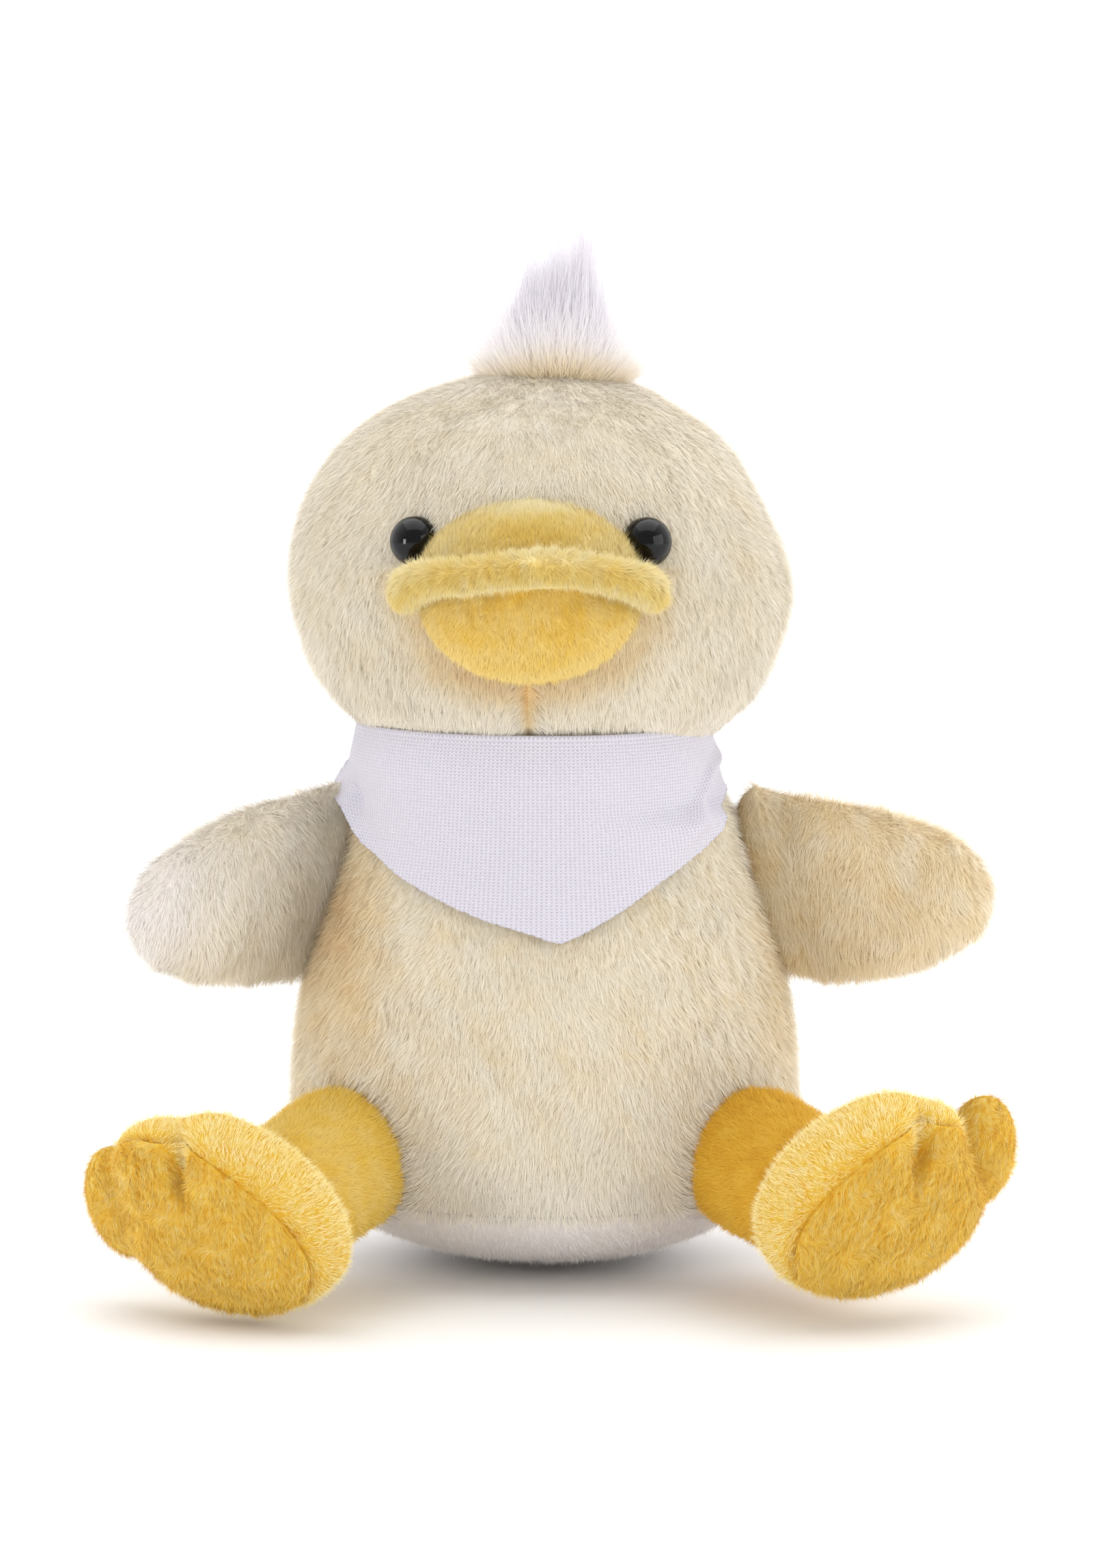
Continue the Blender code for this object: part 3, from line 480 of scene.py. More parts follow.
# A ball below its middle and a flatter one above it: x and y follow the sine of the polar
# angle, z the cosine times the height of that half. Above the middle each side is narrowed by a
# share. A bell of a dent round each eye, a bell of a groove along the chin's seam and slow waves
# move places along the way out from the middle.
def headForm(grow):
    def place(u, v):
        turn, polar = 2 * math.pi * u, math.pi * v
        rise = -np.cos(polar)
        across = (head["radius"] + grow) * np.sin(polar)
        height = np.where(rise < 0, head["radius"] + grow, head["crown"] + grow) * rise
        local = np.stack([across * np.cos(turn), across * np.sin(turn), height], -1)
        high = ramp(height, -10 * mm, 9 * mm)
        narrow = np.where(local[:, 0] > 0, head["trimRight"], head["trimLeft"]) * high
        local[:, 0] *= 1 - narrow * ramp(np.abs(local[:, 0]), 0, 0.6 * head["radius"])
        places = head["centre"] + local
        outward = unit(local)
        for side in sides.values():
            away = np.linalg.norm(places - eyeAxis(side)[0], axis=-1)
            dent = head["socketDepth"] * bell(away, head["socketWidth"])
            places = places - outward * dent[:, None]
        low = fall(places[:, 2], head["seamFull"], head["seamTop"])
        groove = bell(places[:, 0] - head["seamX"], head["seamWidth"]) * low * (local[:, 1] < 0)
        places = places - outward * (head["seamDepth"] * groove)[:, None]
        return places + outward * (head["uneven"] * waves(places, head["unevenSize"], 3))[:, None]
    return place


# Level direction out of the face, turned by a yaw.
def faceDirection(yaw):
    angle = head["faceYaw"] + yaw
    return np.array([math.sin(angle), -math.cos(angle), 0.0])


# Where an eye's axis meets the pile's face, and the way it looks: out along the head's normal.
def eyeAxis(side):
    level = faceDirection(side * head["eyeSpread"])
    reach = head["radius"] * math.sqrt(1 - (head["eyeRise"] / head["crown"]) ** 2)
    place = head["centre"] + level * reach + upward * head["eyeRise"]
    outward = level * reach / head["radius"] ** 2 + upward * head["eyeRise"] / head["crown"] ** 2
    return place, unit(outward)


beak = {
    "sink": 4 * mm,
    "tilt": math.radians(0.7),
    # half width, reach and height of each ellipsoid, how high it sits and how full it is below
    "dome": {"half": np.array([17.8, 17.5, 12.5]) * mm, "rise": -0.2 * mm, "under": 0.04},
    "chin": {"half": np.array([17.8, 13.5, 13.8]) * mm, "rise": -3.2 * mm, "under": 1},
    "lip": {"half": 19.5 * mm, "reach": 17.0 * mm, "rise": 2.7 * mm, "droop": 6.0 * mm},
    "lipTall": 3.1 * mm,
    "lipDeep": 4.0 * mm,
    "lipWaves": [(0.55, 0.25, 0.3), (-0.45, -0.45, 0.3), (0.3, -1.0, 0.25)],  # height, place, width
}
beakForward = faceDirection(0)
level = np.array([-beakForward[1], beakForward[0], 0.0])
beakAcross = level * math.cos(beak["tilt"]) + upward * math.sin(beak["tilt"])
beakRise = upward * math.cos(beak["tilt"]) - level * math.sin(beak["tilt"])
beakRoot = head["centre"] + beakForward * (head["radius"] - beak["sink"])
beakAxes = np.stack([beakAcross, beakForward, beakRise])


# Places as seen from the beak's root: across, ahead and up.
def beakLocal(places):
    return (places - beakRoot) @ beakAxes.T


# Ellipsoid on the beak's root: three half sizes times the points of a unit ball.
def beakForm(part, grow):
    sizes = beak[part]

    def place(u, v):
        local = ball(u, v)
        local[:, 2] *= np.where(local[:, 2] < 0, sizes["under"], 1)
        return beakRoot + (local * (sizes["half"] + grow) + [0, 0, sizes["rise"]]) @ beakAxes
    return place


# How far a place lies outside an ellipsoid of the beak, in half sizes: 1 is on it.
def beakShare(places, part):
    local = beakLocal(places) - [0, 0, beak[part]["rise"]]
    return np.linalg.norm(local / beak[part]["half"], axis=1)


# Centre line of the lip: sine across, cosine forwards, and lower by the droop times one minus
# that cosine, with three bells for its waves.
def lipLine(share):
    lip, sweep = beak["lip"], math.pi * (share - 0.5)
    bow = np.cos(sweep)
    wave = sum(high * bell(sweep - at, wide) for high, at, wide in beak["lipWaves"])
    height = lip["rise"] - lip["droop"] * (1 - bow) + wave * mm
    local = np.stack([lip["half"] * np.sin(sweep), lip["reach"] * bow, height], -1)
    return beakRoot + local @ beakAxes, sweep


# The rolled lip: an oval carried along that line. Its size follows the cosine of v's angle to a
# low power, so it closes round at both ends, and it is taller near them.
def lipForm(grow):
    def place(u, v):
        turn = 2 * math.pi * u
        sweep = math.pi * (v - 0.5)
        share = 0.5 + 0.5 * np.sin(sweep) * 0.93
        line, angle = lipLine(share)
        outward = np.stack([np.sin(angle), np.cos(angle), 0 * angle], -1) @ beakAxes
        full = np.cos(sweep) ** 0.45
        tall = (beak["lipTall"] * (1 + 0.7 * np.sin(angle) ** 6) + grow) * full
        deep = (beak["lipDeep"] + grow) * full
        ridge = 1 + (0.05 * np.sin(9 * angle + 1) + 0.04 * np.sin(23 * angle)) * np.cos(turn)
        return line + oval(turn, outward, deep * ridge, beakRise, tall)
    return place


# Paler on the crown, painted light, and paler low down; golden under the beak, a painted warm glow of
# light; and deep along the chin's seam.
def headTone(places):
    x, y, z = places.T
    ahead, low = y < head["centre"][1], beakLocal(places)[:, 2] < 1 * mm
    tone = 0.52 + 0.04 * waves(places, 12 * mm, 11) + 0.03 * waves(places, 3 * mm, 12)
    # Painted light on the crown, and paler low down.
    tone += 0.12 * ramp(z, 136 * mm, 147 * mm) + 0.14 * fall(z, 82 * mm, 94 * mm)
    # Painted warm glow of light under the beak.
    tone -= 0.3 * bell(beakShare(places, "chin") - 1, 0.3) * low * ahead
    seam = bell(x - head["seamX"], 0.55 * mm) * fall(z, 96 * mm, head["seamTop"] + 1 * mm)
    return tone - 0.36 * seam * ahead


# Down the head, outwards from the crown, and away from the seam under the beak.
def headComb(places):
    x, y, z = places.T
    down = 0.6 * unit((places - head["centre"]) * [1, 1, 0]) - upward
    down[:, 0] += 0.16 * waves(places, 22 * mm, 5)
    down[:, 1] += 0.1 * waves(places, 18 * mm, 6)
    near = bell(x - head["seamX"], 2 * mm) * (z < 100 * mm) * (y < head["centre"][1])
    down[:, 0] += 1.5 * near * np.sign(x - head["seamX"])
    return down


# None inside the beak, under an eye or in the neck.
def headKeep(places, normals):
    kept = (beakShare(places, "dome") >= 0.93) & (beakShare(places, "chin") >= 0.9)
    for side in sides.values():
        place, outward = eyeAxis(side)
        delta = places - place
        ahead = delta @ outward
        across = np.linalg.norm(delta - outward * ahead[:, None], axis=1)
        kept &= (across >= 2.9 * mm) | (ahead <= -6 * mm)
    return kept & (places[:, 2] >= 86.5 * mm)


# The cheeks' pile stands up; that of the forehead and the crown is combed flatter.
def headLie(places):
    return 0.6 + 0.22 * ramp(places[:, 2], 114 * mm, 136 * mm) + 0.04 * waves(places, 14 * mm, 8)


# Longer just above the bandana, short under it, and shorter round the eyes.
def headLength(places):
    z = places[:, 2]
    length = 1 + 0.15 * bell(z - 98 * mm, 5 * mm) - 0.75 * fall(z, 87.5 * mm, 93.5 * mm)
    for side in sides.values():
        away = np.linalg.norm(places - eyeAxis(side)[0], axis=1)
        length = length * (1 - 0.25 * bell(away, 5 * mm))
    return length


creamPile = {
    "length": 2.1 * mm,
    "width": 0.1 * mm,
    "uneven": 0.3,
    "stray": 0.11,
    "sway": 0.06,
    "upright": 0.1,  # share of the strands that stand up instead of lying
    "clump": 2.4 * mm,
    "pull": 0.14,
    "spin": 0.35,
    "mottle": 0.03,
    "parts": 1,
    "own": 0.8,
    "lie": 0.68,
}


def makeHead():
    form, nodes = headForm(-head["sink"]), ("head_skin", "head_stuffing")
    # The head wears the dimmer copy of the cream plush, painted shade.
    look = ("shadedHeadBacking", "head", "cream_plush")
    paddedSkin("head_backing", [form], headTone, (200, 140), look, nodes)
    look = ("shadedHeadCream", "head", "cream_plush")
    pile = creamPile | {"count": 198000, "seed": 21, "lie": headLie}
    furOver("head_pile", form, look, pile, headComb, headTone, headKeep, headLength)
    print("head done")


eye = {
    "steps": 72,  # round the eye
    "domeSteps": 40,
    "domeEnd": -0.35,  # angle below the eye's widest ring
    "stemRadius": 1.1 * mm,
    "stemEnd": -8 * mm,
    "black": {"Roughness": 0.06, "Specular IOR Level": 0.3},
    "blackTones": ("#040405", "#0B0B0D"),
    "washerTones": ("#D8D6D0", "#ECEAE6"),
}


# An eye turned from a profile: a dome, a rim and a stem. Each ring is a radius and a height
# along the axis, carried once round.
def makeEye(label, side, finish):
    place, outward = eyeAxis(side)
    middle, radius, steps = place - outward * head["eyeSink"], head["eyeRadius"], eye["steps"]
    angles = np.linspace(math.pi / 2, eye["domeEnd"], eye["domeSteps"])[1:]
    profile = [(radius * math.cos(a), radius * math.sin(a)) for a in angles]
    profile += [(radius * 0.6, -radius * 0.5), (eye["stemRadius"], -radius * 0.55)]
    rings = np.array(profile + [(eye["stemRadius"], eye["stemEnd"])])
    aside = unit(np.cross(upward, outward))
    above = np.cross(outward, aside)
    turns = np.linspace(0, 2 * math.pi, steps, endpoint=False)
    spokes = np.outer(np.cos(turns), aside) + np.outer(np.sin(turns), above)
    places = middle + rings[:, :1, None] * spokes + rings[:, 1:, None] * outward
    poles = np.stack([middle + outward * radius, middle + outward * eye["stemEnd"]])
    index = np.arange(len(rings) * steps).reshape(len(rings), steps)
    after = np.roll(index, -1, axis=1)
    quads = np.stack([index[:-1], index[1:], after[1:], after[:-1]], -1).reshape(-1, 4)
    tip = np.stack([np.full(steps, index.size), index[0], after[0]], -1)
    end = np.stack([np.full(steps, index.size + 1), after[-1], index[-1]], -1)
    places = np.vstack([places.reshape(-1, 3), poles])
    ball = meshFrom("eye_dome_" + label, places, [quads, np.vstack([tip, end])])
    dress(ball, finish, "head", "eye_black", "eye_" + label)


def makeEyes():
    black = plasticFinish("eyeGloss", eye["black"], 1 / 900, eye["blackTones"])
    pale = plasticFinish("washerPlastic", {"Roughness": 0.4}, 1 / 1500, eye["washerTones"])
    for label, side in sides.items():
        makeEye(label, side, black)
        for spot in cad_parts["eye_washer_" + label].material_slots:
            spot.material = pale
    print("eyes done")


minkyPile = {
    "length": 1.4 * mm,
    "width": 0.09 * mm,
    "uneven": 0.3,
    "stray": 0.16,
    "sway": 0.12,
    "upright": 0.08,
    "clump": 1.3 * mm,
    "pull": 0.22,
    "spin": 0.35,
    "mottle": 0.08,
    "parts": 1,
    "own": 0.8,
    "lie": 0.66,
}


# A deep patch on the dome's front, painted shade from the pile's lie, and a pale rim at its top,
# painted light.
def domeTone(places):
    x, z = beakLocal(places).T[[0, 2]]
    shadePatch = bell(x - 1 * mm, 9 * mm) * bell(z - 6.5 * mm, 3.2 * mm)
    mottle = 0.06 * waves(places, 4 * mm, 31) + 0.05 * waves(places, 1.3 * mm, 32)
    return 0.85 - 0.5 * shadePatch + mottle + 0.25 * ramp(z, 8.5 * mm, 11.5 * mm)


# A deep band along the middle of the lip, with streaks across it.
def lipTone(places):
    (x, z), lip = beakLocal(places).T[[0, 2]], beak["lip"]
    bow = np.sqrt(np.clip(1 - (x / lip["half"]) ** 2, 0, 1))
    line = lip["rise"] - lip["droop"] * (1 - bow)
    band = bell((z - line) / beak["lipTall"] - 0.1, 0.5)
    streak = 0.1 * waves(places * [1, 1, 0.3], 1.6 * mm, 33)
    return 0.9 - 0.32 * band + streak + 0.06 * waves(places, 5 * mm, 34)


# Paler at the chin's rim and, less so, low down.
def chinTone(places):
    y, z = beakLocal(places).T[1:]
    rim = fall(y / beak["chin"]["half"][1], 0.3, 0.75)
    low = fall(z, -15 * mm, -8 * mm)
    streak = 0.08 * waves(places * [1, 1, 0.35], 1.5 * mm, 35)
    return 0.78 + 0.14 * np.maximum(rim, 0.4 * low) + streak + 0.07 * waves(places, 6 * mm, 36)


# Only outside the head, and above the lip's middle.
def domeKeep(places, normals):
    away = (places - head["centre"]) / [head["radius"], head["radius"], head["crown"]]
    return (np.linalg.norm(away, axis=1) >= 0.97) & (beakLocal(places)[:, 2] >= 2 * mm)


# Only outside the head, and below the lip.
def chinKeep(places, normals):
    away = np.linalg.norm(places - head["centre"], axis=1)
    return (away >= head["radius"] * 0.97) & (beakLocal(places)[:, 2] <= 4 * mm)


def uphill(places):
    return upward


# Down the lip and back towards the head, with a slow sway to each side.
def lipComb(places):
    way = -0.8 * beakForward - beakRise
    return way + 0.3 * waves(places, 3 * mm, 37)[:, None] * beakAcross


# Down the chin, fanning out from its middle.
def chinComb(places):
    aside = beakLocal(places)[:, 0] / beak["chin"]["half"][0]
    return 0.8 * aside[:, None] * beakAcross - beakRise


# The dome's tone above the lip, and the lip's own below.
def upperTone(places):
    return np.where(beakLocal(places)[:, 2] > 7 * mm, domeTone(places), lipTone(places))


def makeBeak():
    sink = 0.9 * mm
    dome, lip, chin = beakForm("dome", -sink), lipForm(-sink), beakForm("chin", -sink)
    grid, fill = (120, 80), 0.9
    look, nodes = ("paleBacking", "head", "pale_yellow_plush"), ("upper_beak", "upper_beak_stuffing")
    paddedSkin("upper_beak_backing", [dome, lip], upperTone, grid, look, nodes)
    look = ("beak", "head", "pale_yellow_plush")
    pile = minkyPile | {"count": 20000, "seed": 41}
    furOver("upper_beak_pile", dome, look, pile, uphill, domeTone, domeKeep)
    pile = minkyPile | {"count": 26000, "seed": 42, "length": 1.8 * mm, "lie": 0.62}
    furOver("lip_pile", lip, look, pile, lipComb, lipTone)
    look, nodes = ("goldBacking", "head", "golden_plush"), ("lower_beak", "lower_beak_stuffing")
    paddedSkin("lower_beak_backing", [chin], chinTone, grid, look, nodes)
    look = ("gold", "head", "golden_plush")
    pile = minkyPile | {"count": 20000, "seed": 43}
    furOver("lower_beak_pile", chin, look, pile, chinComb, chinTone, chinKeep)
    print("beak done")


tuft = {
    "x": 1.3 * mm,
    "halfWidth": 9.2 * mm,
    "halfDepth": 5.8 * mm,
    "width": 0.06 * mm,
    "mound": 14000,  # short fluffy strands
    "lockStrands": 6000,
    # locks: where each ends, in millimetres across, back and above the crown, and its share
    "locks": [
        (6.0, 0, 27.8, 0.16), (6.9, 0.5, 23.5, 0.1), (4.6, -0.5, 20.5, 0.09), (1.8, 0, 24.8, 0.1),
        (1.0, 1, 19.5, 0.1), (-2.4, 0.5, 21.5, 0.09), (-3.6, -0.5, 16.8, 0.09), (8.4, 0.5, 16.8, 0.1),
        (-6.8, 0, 12.2, 0.06), (10.3, 0, 12.0, 0.06), (-12.5, 0, 9.0, 0.03), (-9.6, 0, 11.2, 0.02),
        (13.8, 0.5, 6.5, 0.03), (17.0, 0.5, 2.8, 0.01),
    ],
    "seed": 51,
    "steps": 5,
    "sink": 2.5 * mm,  # of the roots in the crown
    "moundTall": (6.5 * mm, 12 * mm),  # least, and the most that chance adds
    "moundStray": [0.26, 0.26, 0.08],
    "lockReach": 5.0,  # millimetres from a lock within which strands choose it
    "lockSpread": np.array([0.7, 0.9, 0.8]) * mm,  # of the tips in a lock
    "lockStray": np.array([1.6, 1.2, 0.3]) * mm,
    "bow": (1.8 * mm, 0.45 * mm),  # outwards, and any way
    "roots": [(0, "#F9E2AE"), (0.5, "#FBF4E9"), (1, "#FBF8F4")],
    "tips": [(0, "#FCF9FA"), (0.4, "#FAF7F9"), (1, "#EAE5EE")],
}


# Long strands from an oval on the crown. Short ones fan out and make a fluffy mound. Each long
# one heads for the tip of a lock, goes most of the way there and bows outwards.
def makeTuft():
    rng = np.random.default_rng(tuft["seed"])
    count, parts = tuft["mound"] + tuft["lockStrands"], tuft["steps"]
    mound = np.arange(count) < tuft["mound"]
    turn, far = rng.random(count) * 2 * math.pi, np.sqrt(rng.random(count))
    far = np.where(mound, far, far * 0.85)
    x = tuft["x"] + tuft["halfWidth"] * far * np.cos(turn)
    y = tuft["halfDepth"] * far * np.sin(turn)
    away = np.sqrt(np.clip(1 - (x**2 + y**2) / head["radius"] ** 2, 0, 1))
    top = head["centre"][2] + head["crown"]
    roots = np.stack([x, y, top - head["crown"] * (1 - away) - tuft["sink"]], -1)
    radial = np.stack([far * np.cos(turn), far * np.sin(turn), 0 * x], -1)
    least, more = tuft["moundTall"]
    tall = (least + more * rng.random(count) ** 1.5) * (1.12 - 0.5 * far**1.3 - 0.2 * far**7)
    stray = rng.normal(size=(count, 3)) * tuft["moundStray"]
    fan = unit(upward + radial * (0.4 + 1.5 * far[:, None] ** 7) + stray)
    locks = np.array(tuft["locks"])
    closeness = locks[:, 3] * bell(x[:, None] / mm - locks[:, 0], tuft["lockReach"])
    closeness = closeness.cumsum(1) / closeness.sum(1, keepdims=True)
    lock = (rng.random(count)[:, None] > closeness).sum(1)
    ends = locks[lock, :3] * mm + [0, 0, top] + rng.normal(size=(count, 3)) * tuft["lockSpread"]
    share = (0.4 + 0.6 * rng.random(count))[:, None]
    stray = rng.normal(size=(count, 3)) * tuft["lockStray"] * (1 - share)
    way = np.where(mound[:, None], fan * tall[:, None], (ends - roots) * share + stray)
    out, loose = tuft["bow"]
    bow = radial * (out * rng.random(count))[:, None] + rng.normal(size=(count, 3)) * loose
    steps = np.arange(parts + 1) / parts
    spine = [roots + way * t + bow * math.sin(math.pi * t) for t in steps]
    ahead = unit(way)
    facing = unit(radial * 0.6 + rng.normal(size=(count, 3)) * 0.3 + [0, -1, 0])
    aside = unit(np.cross(facing, ahead))
    tones = np.where(mound, 0.2 + 0.55 * ramp(tall, 9 * mm, 18 * mm), 0.85)
    tones = np.clip(tones + 0.12 * rng.normal(size=count), 0.02, 0.98)
    paler = 0.7 * np.abs(radial[:, 0]) ** 1.5
    rises = [np.clip((s[:, 2] - top + 1 * mm) / (6 * mm) + paler, 0.02, 0.97) for s in spine]
    hair = stripMesh("tuft_hair", spine, aside, tuft["width"], tones, rises, np.cross(ahead, aside))
    finish = pileFinish("tuftHair", tuft["roots"], tuft["tips"])
    dress(hair, finish, "head", "crest_fur", "tuft")
    print("tuft done")


bodyShape = {
    "half": 42.5 * mm,
    "depthShare": 0.9,
    "neckDepthShare": 1.02,
    "belly": 26 * mm,
    "top": 94 * mm,
    "underPower": 2.35,
    "flat": 0.5 * mm,
    # half width at each share of the way from the belly to the top
    "shares": [
        (0, 1), (0.2, 0.975), (0.42, 0.895), (0.64, 0.775), (0.765, 0.735), (0.86, 0.715), (1, 0.66),
    ],
    "seam": 12.5 * mm,
    "sink": 1.3 * mm,
    "bowlShare": 0.4,  # of v below the belly
    "closing": 0.985,  # where v closes the neck
}


# How far up a height is, from the belly to the top.
def bodyShare(height):
    rise = bodyShape["top"] - bodyShape["belly"]
    return np.clip((height - bodyShape["belly"]) / rise, 0, 1)


# Half width of the pear: below the belly a superellipse of the drop, and above it a curve
# through shares of the widest half.
def bodyWidth(height):
    drop = np.clip((bodyShape["belly"] - height) / (bodyShape["belly"] + bodyShape["flat"]), 0, 1)
    power = bodyShape["underPower"]
    bowl = (1 - drop**power) ** (1 / power)
    upper = curveThrough(bodyShape["shares"], bodyShare(height))
    return bodyShape["half"] * np.where(height < bodyShape["belly"], bowl, upper)


# Half depth of the pear: the half width times a share that grows from belly to neck.
def bodyDepth(height):
    low, high = bodyShape["depthShare"], bodyShape["neckDepthShare"]
    return bodyWidth(height) * (low + (high - low) * bodyShare(height))


# One less a share by which the right side is narrower, all the way up and most at the neck.
def bodySlim(height, across):
    return 1 - ramp(across, 0, 0.7) * (0.025 + 0.115 * ramp(height, 70 * mm, 81 * mm))


# The pear: an oval of that half width and depth at each height. v runs up the bowl by a
# cosine and then evenly to the neck. A form with a highest height is closed flat there.
def bodyForm(grow, high=None):
    belly, floor = bodyShape["belly"], -bodyShape["flat"]
    part, close = bodyShape["bowlShare"], bodyShape["closing"]

    def place(u, v):
        turn = 2 * math.pi * u
        bowl = floor + (belly - floor) * (1 - np.cos(math.pi / 2 * np.clip(v / part, 0, 1)))
        upper = belly + (bodyShape["top"] - belly) * (v - part) / (1 - part)
        height = np.where(v < part, bowl, upper)
        if high is not None:
            height = np.minimum(height, high)
        closing = np.where(v > close, (1 - v) / (1 - close), 1.0)
        wide = np.maximum(bodyWidth(height) + grow, 0) * closing * bodySlim(height, np.cos(turn))
        deep = np.maximum(bodyDepth(height) + grow, 0) * closing
        lift = np.where(height < belly, -grow * (1 - height / belly), 0)
        return np.stack([wide * np.cos(turn), deep * np.sin(turn), height + lift], -1)
    return place


# How far a place is from the nearer leg's axis, in leg radii.
def nearLeg(places):
    return np.minimum(*(legShare(places, side) for side in sides.values()))


# Paler low down, with painted shade round the legs and in the shade of each wing.
def bodyTone(places):
    x, y, z = places.T
    tone = 0.47 + 0.04 * waves(places, 12 * mm, 61) + 0.04 * waves(places, 3.5 * mm, 62)
    # Paler low down; painted shade round each leg, where it meets the body.
    tone += 0.16 * fall(z, 12 * mm, 30 * mm) - 0.08 * bell(nearLeg(places) - 1, 0.12)
    left = fall(x, -34 * mm, -20 * mm) * bell(z - 58 * mm, 20 * mm)
    right = ramp(x, 30 * mm, 37 * mm) * bell(z - 55 * mm, 20 * mm)
    return tone - (0.32 * left + 0.22 * right) * fall(y, -6 * mm, 6 * mm)


def baseTone(places):
    return 0.97 + 0.05 * waves(places, 5 * mm, 63)


# Down with a slow sway, and round each leg towards its hip.
def bodyComb(places):
    down = np.tile(-upward, (len(places), 1))
    down[:, 0] += 0.3 * waves(places, 25 * mm, 64) + 0.25 * waves(places, 7 * mm, 65)
    for side in sides.values():
        near = bell(legShare(places, side) - 1.05, 0.16)[:, None]
        down += 2.2 * near * unit(legEnds(side)[0] - places)
    return down


# Longer where a leg comes out, so that the fur laps over its seam.
def bodyLength(places):
    return 1 + 0.35 * bell(nearLeg(places) - 1.02, 0.14)


# Between the base's seam and the bandana, outside the legs.
def bodyKeep(places, normals):
    x, y, z = places.T
    kept = (z >= bodyShape["seam"] + 0.2 * mm) & (z <= 90 * mm)
    return kept & (z <= bandanaEdge(np.arctan2(x, -y)) + 2.5 * mm) & (nearLeg(places) >= 0.86)


# Below the seam and outside the legs, and thin where the toy sits on it.
def baseKeep(places, normals):
    z = places[:, 2]
    kept = (z <= bodyShape["seam"] - 0.3 * mm) & (nearLeg(places) >= 0.92)
    seat = (normals[:, 2] < -0.97) & (z < 0.8 * mm)
    return np.where(seat, 0.25, kept)


def makeBody():
    sink = bodyShape["sink"]
    form, base = bodyForm(-sink), bodyForm(0.15 * mm - sink, bodyShape["seam"])
    look, nodes = ("creamBacking", "torso", "cream_plush"), ("body_skin", "body_stuffing", "bean_pouch")
    paddedSkin("body_backing", [form], bodyTone, (180, 140), look, nodes)
    look = ("cream", "torso", "cream_plush")
    pile = creamPile | {"count": 190000, "seed": 66, "lie": 0.64, "length": 2.4 * mm}
    furOver("body_pile", form, look, pile, bodyComb, bodyTone, bodyKeep, bodyLength)
    look = ("creamBacking", "torso", "base_plush")
    paddedSkin("base_backing", [base], baseTone, (140, 90), look, ("base_panel",))
    look = ("cream", "torso", "base_plush")
    pile = creamPile | {"count": 36000, "seed": 67, "lie": 0.7, "length": 1.4 * mm}
    furOver("base_pile", form, look, pile, bodyComb, baseTone, baseKeep)
    print("body done")


# The plug of stuffing in the neck: a pillow that the head sits on, whose radius is the sine of
# the polar angle to a low power, with seven shallow dents round it.
def makeNeck():
    low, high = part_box("neck_stuffing")
    middle, radius = (np.array(low) + np.array(high)) / 2, (high.x - low.x) / 2

    def place(u, v):
        turn, polar = 2 * math.pi * u, math.pi * v
        wide = radius * np.sin(polar) ** 0.4 * (1 - 0.02 * np.sin(7 * turn) ** 2)
        height = -(high.z - low.z) / 2 * np.cos(polar)
        return middle + np.stack([wide * np.cos(turn), wide * np.sin(turn), height], -1)

    look = ("creamBacking", "neck", "stuffing_fibre")
    paddedSkin("neck_filling", [place], evenTone(0.9), (60, 30), look, ("neck_stuffing",))


tail = {
    "halves": np.array([7.8, 5.3, 15.5]) * mm,  # across, thick and long, of the backing
    "z": 30 * mm,
    "rise": math.radians(28),
}


# The tail: a unit ball times three half sizes, on axes that lean up out of the back.
def makeTail():
    outward = np.array([0, math.cos(tail["rise"]), math.sin(tail["rise"])])
    above = np.array([0, -math.sin(tail["rise"]), math.cos(tail["rise"])])
    root = np.array([0, float(bodyDepth(np.array([tail["z"]]))[0]), tail["z"]])
    axes = np.stack([[1.0, 0, 0], above, outward])
    form = lambda u, v: root + (ball(u, v) * tail["halves"]) @ axes
    comb = lambda places: 0.5 * outward - upward
    keep = lambda places, normals: (places[:, 1] > root[1] - 2 * mm).astype(float)
    look = ("creamBacking", "torso", "cream_plush")
    paddedSkin("tail_backing", [form], bodyTone, (60, 40), look, ("tail",))
    pile = creamPile | {"count": 9000, "seed": 71, "lie": 0.6}
    furOver("tail_pile", form, ("cream", "torso", "cream_plush"), pile, comb, bodyTone, keep)
    print("neck and tail done")


bandana = {
    "cloth": 0.55 * mm,
    "lift": 0.45 * mm,
    "topZ": 88.0 * mm,
    "frontRise": 1.4 * mm,
    "backZ": 80.8 * mm,
    # lower edge in front: millimetres across and up, from the left side over the point to the right
    "edge": [
        (-36, 76.5), (-34.1, 74.8), (-32.2, 72.1), (-30.5, 70.3), (-24.2, 66.5), (-17.5, 63.5),
        (-10.2, 60.7), (-4, 59), (1.0, 57.4), (1.9, 57.2), (2.8, 57.5), (9.5, 60.9), (18.5, 65.9),
        (27.4, 70.1), (30.4, 72.2), (32.5, 75.7), (36, 77.5),
    ],
    "halfWidth": 35.5,  # of the drawn edge, in millimetres
    "wale": 0.7 * mm,
    "course": 0.5 * mm,
    "around": 720,
    "down": 90,
    "shine": {
        "Roughness": 0.8, "Specular IOR Level": 0.25, "Sheen Weight": 0.2, "Sheen Roughness": 0.4,
    },
    "tones": [(0, "#B8B3C1"), (0.5, "#D7D3DF"), (1, "#E5E2EA")],
}


# Height of the lower edge at an angle round the neck, 0 in front: the drawn edge over the
# front half, and a level band behind.
def bandanaEdge(angle):
    across = bandana["halfWidth"] * np.sin(angle)
    front = np.interp(across, *np.array(bandana["edge"]).T) * mm
    behind = fall(np.cos(angle), -0.4, -0.04)
    return front * (1 - behind) + bandana["backZ"] * behind


